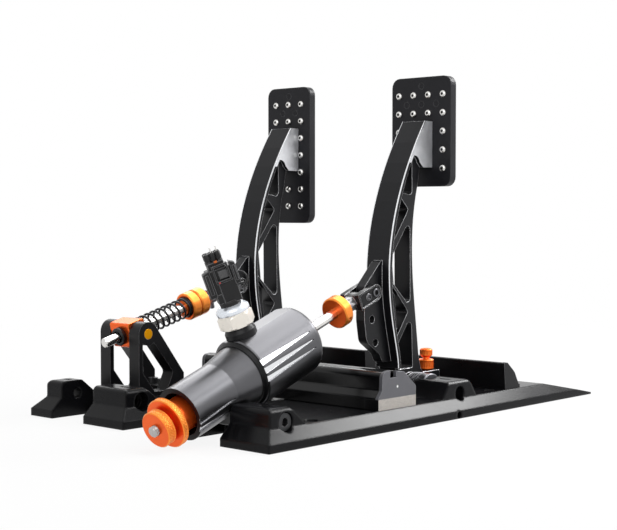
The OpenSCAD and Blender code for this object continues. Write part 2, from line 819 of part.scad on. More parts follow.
module spring_tower() {
    color("#141416") difference() {
        union() {
            tower_frame(throttle_x - tower_w / 2);
            tower_frame(throttle_x + tower_gap / 2);
            translate([throttle_x - tower_w / 2 + 1, tower_rear, deck_h])
                cube([tower_w - 2, tower_bridge_l, tower_bridge_h]);
        }
        for (s = [-1, 1])
            translate([throttle_x + s * tower_gap / 4, tower_bolt_y, deck_h - eps])
                cylinder(r = tower_bolt_r + run_fit, h = tower_bridge_h + 2 * eps);
    }
}

module tower_bolts() {
    color("#3a3b3d") for (s = [-1, 1])
        translate([throttle_x + s * tower_gap / 4, tower_bolt_y, deck_h]) difference() {
            union() {
                cylinder(r = tower_bolt_r, h = tower_bridge_h + eps);
                translate([0, 0, tower_bridge_h]) cylinder(r = tower_bolt_r * 1.7, h = 2 * tower_bolt_r);
            }
            translate([0, 0, tower_bridge_h + 2]) hex_socket(4, 4);
        }
}

// Pedal arms

arm_outline = concat(
    arc([0, 0], hub_r - 0.6, -60, -150, 10),
    [[-stop_back + 10, lug_top - lug_t], [-lug_end, lug_top - lug_t], [-lug_end, lug_top],
     [-stop_back + 16, lug_top], [-hub_r - 1, lug_top + 4]],
    curve(rear_curve, 0, 1),
    [[-plate_back + 13, head_bottom], [-plate_back, head_bottom], [-plate_back, head_h]],
    curve(front_curve, 1, 0),
    [[hub_r - 0.5, 3]]
);
flange_outline = concat(
    curve(front_curve, 0, 1),
    [for (p = curve(front_curve, 1, 0)) p - [flange_t, 0]]
);
head_outline = concat(
    curve(front_curve, head_first / curve_n, 1, curve_n - head_first),
    [[-plate_back, head_h], [-plate_back, head_bottom], [-plate_back + 12.5, head_bottom]],
    arc(notch_c, notch_r, 167, 40, 8)
);

module arm_body(x) {
    translate([x, pivot_y, pivot_z]) difference() {
        union() {
            difference() {
                along_x(-truss_w / 2, truss_w / 2) polygon(arm_outline);
                for (w = windows)
                    along_x(-truss_w, truss_w) polygon(rounded([for (p = w) [p[0], p[1] * arm_k, p[2]]]));
            }
            along_x(-arm_w / 2, arm_w / 2) polygon(flange_outline);
            along_x(-arm_w / 2, arm_w / 2) polygon(head_outline);
            x_cylinder(hub_r, -arm_w / 2, arm_w / 2, 0, 0);
            along_x(-fin_t / 2, fin_t / 2) polygon(rounded(fin_outline));
        }
        x_cylinder(axle_d / 2 + run_fit + bush_wall, -arm_w, arm_w, 0, 0);
        x_cylinder(pin_d / 2, -fin_t, fin_t, pin_dy, pin_dz);
        for (h = fin_holes)
            x_cylinder(fin_hole_r, -fin_t, fin_t, h[0], h[1]);
        translate([0, -stop_back, 0]) cylinder(r = stop_d / 2 + run_fit, h = lug_top + eps);
        for (z = plate_screw_z)
            translate([0, -plate_back - eps, z]) rotate([-90, 0, 0])
                cylinder(r = plate_screw_r, h = plate_screw_l + eps);
    }
}

plate_screw_r = 2.5;
plate_screw_l = 12;
plate_screw_z = [head_bottom + 10, head_bottom + 10 + stud_pitch];

module brake_arm() {
    color("#16171a") arm_body(brake_x);
}

module throttle_arm() {
    color("#16171a") arm_body(throttle_x);
}

module arm_bushes(x) {
    l = arm_w / 2 - 1;
    for (x0 = [x - arm_w / 2, x + 1])
        translate([x0, pivot_y, pivot_z]) rotate([0, 90, 0])
            ring(axle_d / 2 + run_fit, axle_d / 2 + run_fit + bush_wall, l, 0.2);
}

module brake_arm_bushes() {
    color("#8a7a5a") arm_bushes(brake_x);
}

module throttle_arm_bushes() {
    color("#8a7a5a") arm_bushes(throttle_x);
}

plate_y1 = pivot_y - plate_back;
plate_top = pivot_z + head_h + plate_over;
stud_margin = 8;
blind_r = 2.7;
blind_l = 0.6;

// Stud places as [x, z] from the centre of the plate's top edge
function stud_cols(w) = floor((w - 2 * stud_margin) / stud_pitch);
function stud_rows(h) = floor((h - 2 * stud_margin) / stud_pitch);
function stud_places(w, h) =
    let (c = stud_cols(w), r = stud_rows(h), z0 = (h - r * stud_pitch) / 2)
    [for (i = [0:c], j = [0:r])
        let (x = (i - c / 2) * stud_pitch, z = plate_top - z0 - j * stud_pitch)
        if (abs(x) > arm_w / 2 + stud_head_d / 2 + clear
            || z > pivot_z + head_h + stud_head_d / 2 + clear
            || z < pivot_z + head_bottom - stud_head_d / 2 - clear) [x, z]];

// Blind holes between the studs of the first rows
function blind_places(w, h) =
    let (c = stud_cols(w), z0 = plate_top - (h - stud_rows(h) * stud_pitch) / 2)
    concat([[0, z0 + stud_pitch / 2]],
        [for (i = [0:c - 1]) [(i - (c - 1) / 2) * stud_pitch, z0 - stud_pitch / 2]]);

module plate_body(x, w, h) {
    r = plate_round;
    translate([x, plate_y1, 0]) difference() {
        along_y(-plate_t, 0) polygon(rounded([
            [-w / 2, plate_top, r], [-w / 2, plate_top - h, r],
            [w / 2, plate_top - h, r], [w / 2, plate_top, r]
        ]));
        for (p = stud_places(w, h))
            translate([p[0], eps, p[1]]) rotate([90, 0, 0])
                cylinder(r = stud_d / 2 + run_fit, h = plate_t + 2 * eps);
        for (p = blind_places(w, h))
            translate([p[0], eps, p[1]]) rotate([90, 0, 0]) cylinder(r = blind_r, h = blind_l + eps);
        for (z = plate_screw_z)
            translate([0, eps, pivot_z + z]) rotate([90, 0, 0])
                cylinder(r = plate_screw_r + run_fit, h = plate_t + 2 * eps);
    }
}

module brake_plate() {
    color("#0f1012") plate_body(brake_x, brake_plate_w, brake_plate_h);
}

module throttle_plate() {
    color("#0f1012") plate_body(throttle_x, throttle_plate_w, throttle_plate_h);
}

stud_head_h = 2.2;
stud_tip = 2;

module plate_studs(x, w, h) {
    for (p = stud_places(w, h)) translate([x + p[0], plate_y1, p[1]]) rotate([-90, 0, 0]) difference() {
        union() {
            rotate_extrude() polygon(concat(
                [[0, 0], [stud_head_d / 2, 0]],
                arc([stud_head_d / 2 - 1.2, stud_head_h - 1.2], 1.2, 0, 90, 4), [[0, stud_head_h]]
            ));
            translate([0, 0, -plate_t - stud_tip]) cylinder(r = stud_d / 2, h = plate_t + stud_tip + 0.5);
        }
        translate([0, 0, stud_head_h - 1.4]) hex_socket(stud_head_d * 0.42, 2);
    }
}

module brake_plate_studs() {
    color("silver") plate_studs(brake_x, brake_plate_w, brake_plate_h);
}

module throttle_plate_studs() {
    color("silver") plate_studs(throttle_x, throttle_plate_w, throttle_plate_h);
}

module plate_screws(x) {
    head_l = 2.4;
    for (z = plate_screw_z) translate([x, plate_y1 - plate_t, pivot_z + z]) rotate([-90, 0, 0]) difference() {
        union() {
            translate([0, 0, -head_l]) cylinder(r = 1.75 * plate_screw_r, h = head_l);
            translate([0, 0, -eps]) cylinder(r = plate_screw_r, h = plate_t + plate_screw_l);
        }
        translate([0, 0, -head_l - eps]) hex_socket(plate_screw_r * 1.2, head_l * 0.65 + eps);
    }
}

module brake_plate_screws() {
    color("#3a3b3d") plate_screws(brake_x);
}

module throttle_plate_screws() {
    color("#3a3b3d") plate_screws(throttle_x);
}

module clevis_pin(x) {
    w = fork_w / 2 + 1.5;
    color("#4a4b4e") {
        x_cylinder(pin_d / 2, x - w, x + w, pin_y, pin_z);
        for (x0 = [x - w - 1.5, x + w])
            x_cylinder(pin_d / 2 + 1.6, x0, x0 + 1.5, pin_y, pin_z);
    }
}

module brake_clevis_pin() {
    clevis_pin(brake_x);
}

module throttle_clevis_pin() {
    clevis_pin(throttle_x);
}

// Stop screws behind the arms

stop_y = pivot_y - stop_back;
lug_top_z = pivot_z + lug_top;
lock_wheel_z = lug_top_z + clear;
stop_knob_z = lock_wheel_z + lock_wheel_h + stop_neck;

module stop_screw(x) {
    tip = deck_h + clear;
    color("#f26a1b") translate([x, stop_y, 0]) {
        translate([0, 0, tip]) cylinder(r = stop_d / 2, h = stop_knob_z - tip + eps);
        translate([0, 0, stop_knob_z]) ring(0, stop_knob_d / 2, stop_knob_h, 1);
    }
}

module lock_wheel(x) {
    color("#f26a1b") translate([x, stop_y, lock_wheel_z])
        ring(stop_d / 2 + run_fit, lock_wheel_d / 2, lock_wheel_h, 1);
}

module brake_stop_screw() {
    stop_screw(brake_x);
}

module throttle_stop_screw() {
    stop_screw(throttle_x);
}

module brake_lock_wheel() {
    lock_wheel(brake_x);
}

module throttle_lock_wheel() {
    lock_wheel(throttle_x);
}

// Brake cylinder

// Polished flutes that run out to a point along a barrel, on both sides of it
module flutes(angles, r, l) {
    w = flute_w / 2;
    for (a = angles, turn = [a, 180 - a])
        rotate([0, 0, turn]) along_x(r - flute_depth, r + eps)
            polygon([[-w, -eps], [w, -eps], [w / 6, l], [-w / 6, l]]);
}

module rear_barrel() {
    c = 5;
    r = rear_d / 2;
    color("#3c3d41") on_brake() difference() {
        translate([0, 0, rear_at]) rotate_extrude() polygon(concat(
            [[0, 0]], arc([r - c, c], c, -90, 0, 6), [[r, rear_l - 0.8], [r - 0.8, rear_l], [0, rear_l]]
        ));
        translate([0, 0, rear_at + rear_wall]) cylinder(d = bore_d, h = rear_l);
        translate([0, 0, rear_at - eps]) cylinder(r = gland_r, h = rear_wall + 2 * eps);
        rotate([0, 0, sensor_lean]) {
            translate([-r, -r - flat_top, rear_at - eps]) cube([2 * r, r, rear_l + 2 * eps]);
            translate([0, 0, sensor_at]) rotate([90, 0, 0]) cylinder(r = port_hole_r, h = r + eps);
        }
        translate([0, 0, rear_end]) mirror([0, 0, 1]) flutes([-25, -11, 3], r, rear_l * 0.85);
    }
}

gland_r = 10;
port_hole_r = 3;

module rod_gland() {
    color("#8c8d90") on_brake() translate([0, 0, rear_at - 2])
        ring(rod_d / 2 + gland_fit, gland_r, rear_wall + 2, 0.6);
}

module front_barrel() {
    r = front_d / 2;
    lug_z = swing_along;
    color("#34353a") on_brake() difference() {
        union() {
            translate([0, 0, rear_end]) rotate_extrude() polygon([
                [0, 0], [neck_r, 0], [neck_r, shoulder_l], [r, front_l * 0.4], [r, front_l], [0, front_l]
            ]);
            translate([0, 0, rear_end - spigot_l]) cylinder(d = bore_d, h = spigot_l);
            along_x(-lug_w / 2, lug_w / 2) polygon(concat(
                [[0, lug_z - swing_lug_r - 7], [0, lug_z + swing_lug_r + 5]],
                arc([swing_below, lug_z], swing_lug_r, 55, -55, 10)
            ));
        }
        translate([0, 0, chamber_at]) cylinder(r = chamber_r, h = front_l);
        translate([0, 0, front_end - mouth_l]) cylinder(r = mouth_r, h = mouth_l + eps);
        translate([0, swing_below, lug_z]) rotate([0, 90, 0])
            cylinder(r = swing_bolt_d / 2 + run_fit, h = slot_w, center = true);
        translate([0, 0, front_end]) mirror([0, 0, 1]) flutes([10, 30], r, front_l * 0.55);
    }
}

module shoulder_ring() {
    r = neck_r + run_fit;
    color("#101113") on_brake() translate([0, 0, rear_end]) rotate_extrude()
        polygon([
            [r, 0], [rear_d / 2 - 1.2, 0], [rear_d / 2 - 1.6, 1], [r + 0.8, shoulder_l], [r, shoulder_l]
        ]);
}

module damper_stack() {
    l = chamber_l / damper_n;
    color("#b03a2e") on_brake() for (i = [0:damper_n - 1])
        translate([0, 0, chamber_at + i * l + 0.1])
            ring(stud_rod_d / 2 + clear, chamber_r - 0.3, l - 0.2, 1.2);
}

module preload_cup() {
    r = cup_d / 2;
    color("#e8561a") on_brake() translate([0, 0, cup_at]) rotate_extrude() polygon([
        [stud_rod_d / 2 + run_fit, 0], [mouth_r - 0.3, 0], [mouth_r - 0.3, 3], [r, 5],
        [r, mouth_l + cup_out - clear - 1], [r - 1, mouth_l + cup_out - clear],
        [stud_rod_d / 2 + run_fit, mouth_l + cup_out - clear]
    ]);
}

module preload_stud() {
    z0 = chamber_at + chamber_l * 0.6;
    color("silver") on_brake() translate([0, 0, z0]) ring(0, stud_rod_d / 2, stud_end - z0, 0.8);
}

module preload_ring() {
    color("#f26a1b") on_brake() translate([0, 0, preload_at])
        ring(stud_rod_d / 2 + run_fit, preload_d / 2, preload_l, 1);
}

module lock_knob() {
    color("#f26a1b") on_brake() translate([0, 0, knob_at]) rotate_extrude() polygon([
        [stud_rod_d / 2 + run_fit, 0], [knob_d / 2 - 5, 0], [knob_d / 2 - 5, 1.5], [knob_d / 2, 2.2],
        [knob_d / 2, knob_l - 1.2], [knob_d / 2 - 1.2, knob_l], [stud_rod_d / 2 + run_fit, knob_l]
    ]);
}

// Pressure sensor on the cylinder

module sensor_port() {
    r = port_d / 2;
    color("#101113") on_sensor() difference() {
        rotate_extrude() polygon([
            [0, flat_top / 2], [r, flat_top / 2], [r, flat_top + 4], [r - 2, port_top], [0, port_top]
        ]);
        intersection() {
            rotate([90, 0, 0]) cylinder(d = rear_d, h = 2 * port_d, center = true);
            translate([-rear_d / 2, -port_d, 0]) cube([rear_d, 2 * port_d, flat_top]);
        }
        cylinder(r = port_hole_r, h = port_top + eps);
    }
}

module pressure_sensor() {
    af = hex_af / cos(30);
    color("#cfc4ae") on_sensor() {
        intersection() {
            translate([0, 0, port_top]) cylinder(d = af, h = hex_h, $fn = 6);
            translate([0, 0, port_top]) ring(0, af / 2, hex_h, 1.4);
        }
        translate([0, 0, port_top - 4]) cylinder(r = port_hole_r, h = 4 + eps);
        translate([0, 0, port_top + hex_h - eps]) cylinder(d = hex_af * 0.86, h = 4 + eps);
    }
}

plug_from = port_top + hex_h + 4;

// Plug body across the latch face, and its depth behind that face
plug_w = hex_af * 0.86;
plug_d = hex_af * 0.56;
latch_t = 2;

module sensor_plug() {
    w = plug_w;
    d = plug_d;
    pipe_r = w * 0.13;
    color("#17181a") on_sensor() rotate([0, 0, plug_turn]) translate([0, 0, plug_from]) {
        cylinder(d = hex_af * 0.7, h = plug_h * 0.12);
        translate([-d * 0.46, -w * 0.42, plug_h * 0.06]) cube([d * 0.92, w * 0.84, plug_h * 0.2]);
        translate([-d / 2, -w / 2, plug_h * 0.18]) cube([d, w, plug_h * 0.48]);
        translate([-d * 0.42, -w * 0.38, plug_h * 0.6]) cube([d * 0.84, w * 0.76, plug_h * 0.18]);
        for (s = [-1, 0, 1])
            translate([0, s * w * 0.24, plug_h * 0.7]) cylinder(r = pipe_r, h = plug_h * 0.26);
    }
}

module plug_latch() {
    w = plug_w * 0.56;
    l = plug_h * 0.4;
    window = w * 0.66;
    ear_r = plug_h * 0.15;
    color("#202124") on_sensor() rotate([0, 0, plug_turn]) translate([-plug_d / 2, 0, plug_from]) {
        // Frame of the latch
        translate([-latch_t, -w / 2, plug_h * 0.34]) difference() {
            cube([latch_t, w, l]);
            translate([-eps, (w - window) / 2, l * 0.25]) cube([latch_t + 2 * eps, window, l * 0.5]);
        }
        // Wings on both sides of it, with an ear on the rear one
        for (y = [-plug_w / 2 - latch_t, plug_w / 2])
            translate([-latch_t * 0.8, y, plug_h * 0.22]) cube([plug_d / 2, latch_t, plug_h * 0.48]);
        translate([0, 0.3 - plug_w / 2 - latch_t, plug_h * 0.38]) rotate([0, 90, 0]) difference() {
            cylinder(r = ear_r, h = latch_t);
            translate([0, 0, -eps]) cylinder(r = ear_r * 0.7, h = latch_t + 2 * eps);
            translate([-ear_r - eps, 0, -eps]) cube([2 * (ear_r + eps), ear_r + eps, latch_t + 2 * eps]);
        }
    }
}

// Push rods

// Fork with a coupling for a rod, in the strut's frame
module clevis() {
    r = fork_r;
    gap = fin_t + 2 * fork_gap;
    difference() {
        union() {
            along_x(-fork_w / 2, fork_w / 2) polygon(concat(
                arc([0, 0], r, 180, 360, 16),
                [[r, fork_l - 2], [r - 2, fork_l], [2 - r, fork_l], [-r, fork_l - 2]]
            ));
            translate([0, 0, fork_l - eps]) cylinder(d = coupling_d, h = coupling_l + eps);
        }
        translate([-gap / 2, -r - eps, -r - eps]) cube([gap, 2 * (r + eps), r + eps + bridge_at]);
        rotate([0, 90, 0]) cylinder(r = pin_d / 2 + run_fit, h = fork_w + 2 * eps, center = true);
        translate([0, 0, rod_from]) cylinder(d = rod_d, h = fork_l + coupling_l);
        for (s = [-1, 1])
            translate([s * coupling_d * 0.9 - coupling_d / 2, -r, fork_l + coupling_l * 0.45])
                cube([coupling_d, 2 * r, coupling_l]);
    }
}

module brake_clevis() {
    color("#2a2b2e") on_brake() clevis();
}

module throttle_clevis() {
    color("#2a2b2e") on_throttle() clevis();
}

module brake_rod() {
    color("silver") on_brake() translate([0, 0, rod_from])
        cylinder(d = rod_d, h = piston_at + piston_l / 2 - rod_from);
}

module brake_piston() {
    color("#8c8d90") on_brake() difference() {
        translate([0, 0, piston_at]) ring(0, bore_d / 2 - gland_fit, piston_l, 0.8);
        translate([0, 0, piston_at - eps]) cylinder(d = rod_d, h = piston_l / 2 + eps);
    }
}

module brake_collar() {
    set_screw_r = 1.4;
    color("#f26a1b") on_brake() translate([0, 0, collar_at]) difference() {
        ring(rod_d / 2, collar_d / 2, collar_l, 1);
        translate([0, 0, collar_l / 2]) rotate([0, 90, 155]) cylinder(r = set_screw_r, h = collar_d);
    }
}

// Throttle strut

module spring_block() {
    w = tower_gap - 2 * clear;
    h = block_tall;
    c = 2;
    color("#f26a1b") on_throttle() difference() {
        along_x(-w / 2, w / 2) polygon(rounded([
            [-h / 2, block_from, c], [h / 2, block_from, c], [h / 2, block_to, c], [-h / 2, block_to, c]
        ]));
        translate([0, 0, block_from - eps]) cylinder(r = bush_r + bush_sleeve, h = block_l + 2 * eps);
        translate([0, 0, tower_along]) rotate([0, 90, 0])
            cylinder(d = block_pin_d, h = w + eps, center = true);
    }
}

module block_pins() {
    w = tower_gap / 2 - clear;
    l = w - bush_r - bush_sleeve;
    color("#ffa800") on_throttle() translate([0, 0, tower_along]) for (s = [0, 180])
        rotate([0, 0, s]) rotate([0, 90, 0]) translate([0, 0, w - l + 0.2])
            cylinder(d = block_pin_d, h = l - 0.2 + clear + tower_t);
}

module rod_bush() {
    color("#0f1012") on_throttle() translate([0, 0, block_from]) {
        ring(bush_r, bush_r + bush_sleeve, block_l, 0.2);
        translate([0, 0, block_l]) ring(bush_r, bush_r + 1.5 * bush_sleeve, bush_flange_l, 0.5);
    }
}

spring_rings = 8 * spring_turns;
spring_sides = 6;

function spring_point(i) =
    let (share = i / spring_rings, a = 360 * spring_turns * share, r = spring_d / 2)
    [r * cos(a), r * sin(a), spring_from + (spring_to - spring_from) * share];

// Ring of points round the wire at station i
function wire_ring(i) =
    let (
        a = 360 * spring_turns * i / spring_rings,
        out = [cos(a), sin(a), 0],
        rise = (spring_to - spring_from) / (spring_turns * PI * spring_d),
        along = unit([-sin(a), cos(a), rise]),
        side = cross(along, out)
    )
    [for (k = [0:spring_sides - 1])
        let (b = 360 * k / spring_sides)
        spring_point(i) + wire_d / 2 * (out * cos(b) + side * sin(b))];

function tube_faces(n, s) = concat(
    [for (k = [1:s - 2]) [0, k + 1, k]],
    [for (i = [0:n - 1], k = [0:s - 1]) [i * s + k, i * s + (k + 1) % s, (i + 1) * s + (k + 1) % s]],
    [for (i = [0:n - 1], k = [0:s - 1]) [i * s + k, (i + 1) * s + (k + 1) % s, (i + 1) * s + k]],
    [for (k = [1:s - 2]) [n * s, n * s + k, n * s + k + 1]]
);

spring_gap = min([for (i = [0:spring_rings], j = [i + 5:1:spring_rings])
    norm(spring_point(i) - spring_point(j))]) - wire_d;
echo(spring_gap = spring_gap);

module return_spring() {
    color("#1a1a1c") on_throttle() polyhedron(
        points = [for (i = [0:spring_rings]) each wire_ring(i)],
        faces = tube_faces(spring_rings, spring_sides), convexity = 10
    );
}

module throttle_rod() {
    color("silver") on_throttle() translate([0, 0, rod_from])
        ring(0, rod_d / 2, tower_along + rod_out - rod_from, 0.8);
}

module throttle_preload_ring() {
    r = ring_d / 2;
    r_in = rod_d / 2 + run_fit;
    seat_r = spring_d / 2 + wire_d / 2 + 2 * spring_play;
    sleeve_r = spring_d / 2 - wire_d / 2 - 2 * spring_play;
    floor_z = ring_l - ring_seat;
    color("#f7821e") on_throttle() translate([0, 0, ring_at - ring_l]) rotate_extrude() polygon([
        [r_in, 0], [r - 1, 0], [r, 1], [r, ring_l - 1], [r - 1, ring_l], [seat_r, ring_l],
        [seat_r, floor_z], [sleeve_r, floor_z], [sleeve_r, ring_l + ring_seat], [r_in, ring_l + ring_seat]
    ]);
}

module throttle_lock_ring() {
    color("#f26a1b") on_throttle() translate([0, 0, lock_ring_at])
        ring(rod_d / 2 + run_fit, ring_d / 2, ring_l, 1);
}

brake_base();
throttle_base();
brake_heel_stop();
throttle_heel_stop();
brake_axle();
throttle_axle();
brake_axle_sleeves();
throttle_axle_sleeves();
crossbar_housing();
crossbar_end_caps();
crossbar_feet();
crossbar_screws();
control_board();
usb_socket();
status_light();
swing_bolt();
swing_nut();
spring_tower();
tower_bolts();
brake_arm();
brake_arm_bushes();
brake_plate();
brake_plate_studs();
brake_plate_screws();
brake_clevis_pin();
brake_stop_screw();
brake_lock_wheel();
throttle_arm();
throttle_arm_bushes();
throttle_plate();
throttle_plate_studs();
throttle_plate_screws();
throttle_clevis_pin();
throttle_stop_screw();
throttle_lock_wheel();
rear_barrel();
front_barrel();
shoulder_ring();
rod_gland();
damper_stack();
sensor_port();
pressure_sensor();
sensor_plug();
plug_latch();
preload_cup();
preload_stud();
preload_ring();
lock_knob();
brake_rod();
brake_piston();
brake_collar();
brake_clevis();
spring_block();
block_pins();
rod_bush();
return_spring();
throttle_rod();
throttle_clevis();
throttle_preload_ring();
throttle_lock_ring();
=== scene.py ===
"""Racing pedal set: finishes, fine pieces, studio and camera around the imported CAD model."""
import json
import math

import bmesh
import bpy
from mathutils import Matrix, Vector


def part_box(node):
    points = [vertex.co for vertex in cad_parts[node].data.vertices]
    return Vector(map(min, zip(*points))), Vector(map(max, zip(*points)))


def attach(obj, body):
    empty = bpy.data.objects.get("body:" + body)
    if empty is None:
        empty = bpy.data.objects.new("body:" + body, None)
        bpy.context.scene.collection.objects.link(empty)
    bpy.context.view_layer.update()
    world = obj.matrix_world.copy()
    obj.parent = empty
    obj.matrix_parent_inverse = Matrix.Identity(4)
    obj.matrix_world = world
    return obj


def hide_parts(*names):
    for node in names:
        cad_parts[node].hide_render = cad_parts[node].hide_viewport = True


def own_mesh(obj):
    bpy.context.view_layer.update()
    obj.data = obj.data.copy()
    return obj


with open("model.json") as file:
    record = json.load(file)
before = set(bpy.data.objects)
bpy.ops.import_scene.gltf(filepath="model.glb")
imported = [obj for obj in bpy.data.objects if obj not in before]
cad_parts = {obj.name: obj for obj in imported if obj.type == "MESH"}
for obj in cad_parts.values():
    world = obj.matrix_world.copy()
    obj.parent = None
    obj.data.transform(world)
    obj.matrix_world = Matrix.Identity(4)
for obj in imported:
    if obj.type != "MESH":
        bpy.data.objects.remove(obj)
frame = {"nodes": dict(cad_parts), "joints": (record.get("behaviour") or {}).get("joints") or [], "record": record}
bpy.context.view_layer.update()

NODES = frame["nodes"]
JOINTS = {joint["name"]: joint for joint in frame["joints"]}
MM = 0.001
TURN = 2 * math.pi

# Camera of the photograph: where it stands, where it looks, its lens and its sensor's width in mm
CAMERA_AT = Vector((-0.7867, 0.8486, 0.168))
CAMERA_LOOK = Vector((0.6729, -0.7387, -0.0400))
CAMERA_LENS = 80.1
CAMERA_SENSOR = 36.0

# Softboxes: place, target, width, height and radiance
SOFTBOXES = {
    "top_box": ((0.0, -0.43, 1.30), (0.0, 0.05, 0.06), 1.9, 0.38, 5.4),
    "right_box": ((1.24, -0.84, 1.13), (0.0, 0.0, 0.08), 0.7, 0.5, 6.0),
    "left_box": ((-1.25, -0.75, 1.15), (0.0, 0.0, 0.08), 0.7, 0.5, 5.0),
    "back_box": ((-0.52, -1.28, 1.06), (-0.1, 0.0, 0.02), 1.0, 0.36, 18.0),
    "fill_box": ((-0.75, 1.3, 0.9), (0.0, 0.0, 0.1), 1.2, 1.0, 2.0),
}
# Strength of the surround as a light, beside 1 where it is seen
AMBIENT = 0.12
# Share of the floor's own glow near the part, and the distances over which it rises to 1
FLOOR_GLOW = 0.9
FLOOR_FADE = (0.3, 0.9)
FLOOR_REACH = 12.0
FLOOR_DROP = 0.3 * MM


# Shader nodes

def add(tree, kind, inputs=None, **settings):
    """Adds a shader node. Each input is a value or another node's output."""
    node = tree.nodes.new("ShaderNode" + kind)
    for key, value in settings.items():
        setattr(node, key, value)
    for key, value in (inputs or {}).items():
        if isinstance(value, bpy.types.NodeSocket):
            tree.links.new(value, node.inputs[key])
        else:
            node.inputs[key].default_value = value
    return node


def rgba(colour, gain=1.0):
    return (*[min(1.0, c * gain) for c in colour], 1.0)


def mix_colour(tree, factor, a, b):
    """Output that goes from colour a to colour b with the factor."""
    node = add(tree, "Mix", data_type="RGBA")
    tree.links.new(factor, node.inputs[0])
    for socket, value in ((node.inputs[6], a), (node.inputs[7], b)):
        if isinstance(value, bpy.types.NodeSocket):
            tree.links.new(value, socket)
        else:
            socket.default_value = value
    return node.outputs[2]


def combine(tree, operation, a, b):
    """Output of a sum, product or other operation on two numbers."""
    return add(tree, "Math", {0: a, 1: b}, operation=operation).outputs[0]


def remap(tree, value, low, high, to_low, to_high):
    """Output that goes from to_low to to_high as the value goes from low to high."""
    limits = {"From Min": low, "From Max": high, "To Min": to_low, "To Max": to_high}
    return add(tree, "MapRange", {"Value": value, **limits}).outputs["Result"]


# Cosine between a face's own normal and the rounded one, where an edge line begins and where it is full
EDGE_BEGINS, EDGE_FULL = 0.995, 0.9
# Values between which most of a noise lies
NOISE_LOW, NOISE_HIGH = 0.3, 0.7
# Clouds of colour and gloss per metre, and the height of the grain
CLOUDS = 38.0
GRAIN_HEIGHT = 0.2 * MM


def edge_mask(tree, bevel):
    """1 on the edges, where the rounded normal leaves the face's own."""
    normal = add(tree, "NewGeometry").outputs["Normal"]
    same = add(tree, "VectorMath", {0: bevel, 1: normal}, operation="DOT_PRODUCT")
    return remap(tree, same.outputs["Value"], EDGE_BEGINS, EDGE_FULL, 0.0, 1.0)


def finish(
    name, colour, roughness, metallic=0.0, specular=0.5, grain=0.5, depth=0.12, spread=0.06, tint=0.12,
    edge=None, edge_metal=0.0, round_mm=0.5, lines=None, speckled=False,
):
    """A material with grain, uneven gloss, soft edges and edge lines: worn or machined edges, or lighter edges
    painted as highlights.

    grain is the size of the surface texture in mm and depth its bump. spread is how far the roughness goes
    up and down, and tint how far the colour does. edge is the colour of the edges, edge_metal how metallic
    they are and round_mm their radius. lines is (tilt, spacing in mm, depth) for turning marks round an axis
    that slopes down by tilt degrees. speckled lets the colour vary with the grain."""
    material = bpy.data.materials.new(name)
    material.use_nodes = True
    tree = material.node_tree
    shader = tree.nodes["Principled BSDF"]
    place = add(tree, "TexCoord").outputs["Object"]
    fine = add(tree, "TexNoise", {
        "Vector": place, "Scale": 1 / (grain * MM), "Detail": 3.0, "Roughness": 0.6}).outputs["Fac"]
    cloud = add(tree, "TexNoise", {
        "Vector": place, "Scale": CLOUDS, "Detail": 6.0, "Roughness": 0.65}).outputs["Fac"]
    bevel = add(tree, "Bevel", {"Radius": round_mm * MM}, samples=6).outputs["Normal"]

    shade = remap(tree, fine if speckled else cloud, NOISE_LOW, NOISE_HIGH, 0.0, 1.0)
    surface = mix_colour(tree, shade, rgba(colour, 1 - tint), rgba(colour, 1 + tint))
    gloss = remap(tree, cloud, NOISE_LOW, NOISE_HIGH, roughness - spread, roughness + spread)
    if edge:
        broken = remap(tree, fine, 0.25, 0.6, 0.45, 1.0)
        mask = combine(tree, "MULTIPLY", edge_mask(tree, bevel), broken)
        surface = mix_colour(tree, mask, surface, rgba(edge))
        if edge_metal:
            tree.links.new(remap(tree, mask, 0.0, 1.0, metallic, edge_metal), shader.inputs["Metallic"])
    height = fine
    if lines:
        tilt, spacing, line_depth = lines
        along = add(tree, "Mapping", {"Vector": place, "Rotation": (math.radians(90 + tilt), 0, 0)})
        z = add(tree, "SeparateXYZ", {0: along.outputs["Vector"]}).outputs["Z"]
        marks = add(tree, "TexNoise", {
            "W": z, "Scale": 1 / (spacing * MM), "Detail": 2.0}, noise_dimensions="1D").outputs["Fac"]
        scaled = combine(tree, "MULTIPLY", marks, line_depth / max(depth, 0.01))
        height = combine(tree, "ADD", height, scaled)
    bump = add(tree, "Bump", {"Height": height, "Strength": depth, "Distance": GRAIN_HEIGHT, "Normal": bevel})

    tree.links.new(surface, shader.inputs["Base Color"])
    tree.links.new(gloss, shader.inputs["Roughness"])
    tree.links.new(bump.outputs["Normal"], shader.inputs["Normal"])
    if not (edge and edge_metal):
        shader.inputs["Metallic"].default_value = metallic
    shader.inputs["Specular IOR Level"].default_value = specular
    return material


# Slopes of the two struts in degrees
BRAKE_TILT = 20.6
THROTTLE_TILT = 15.495

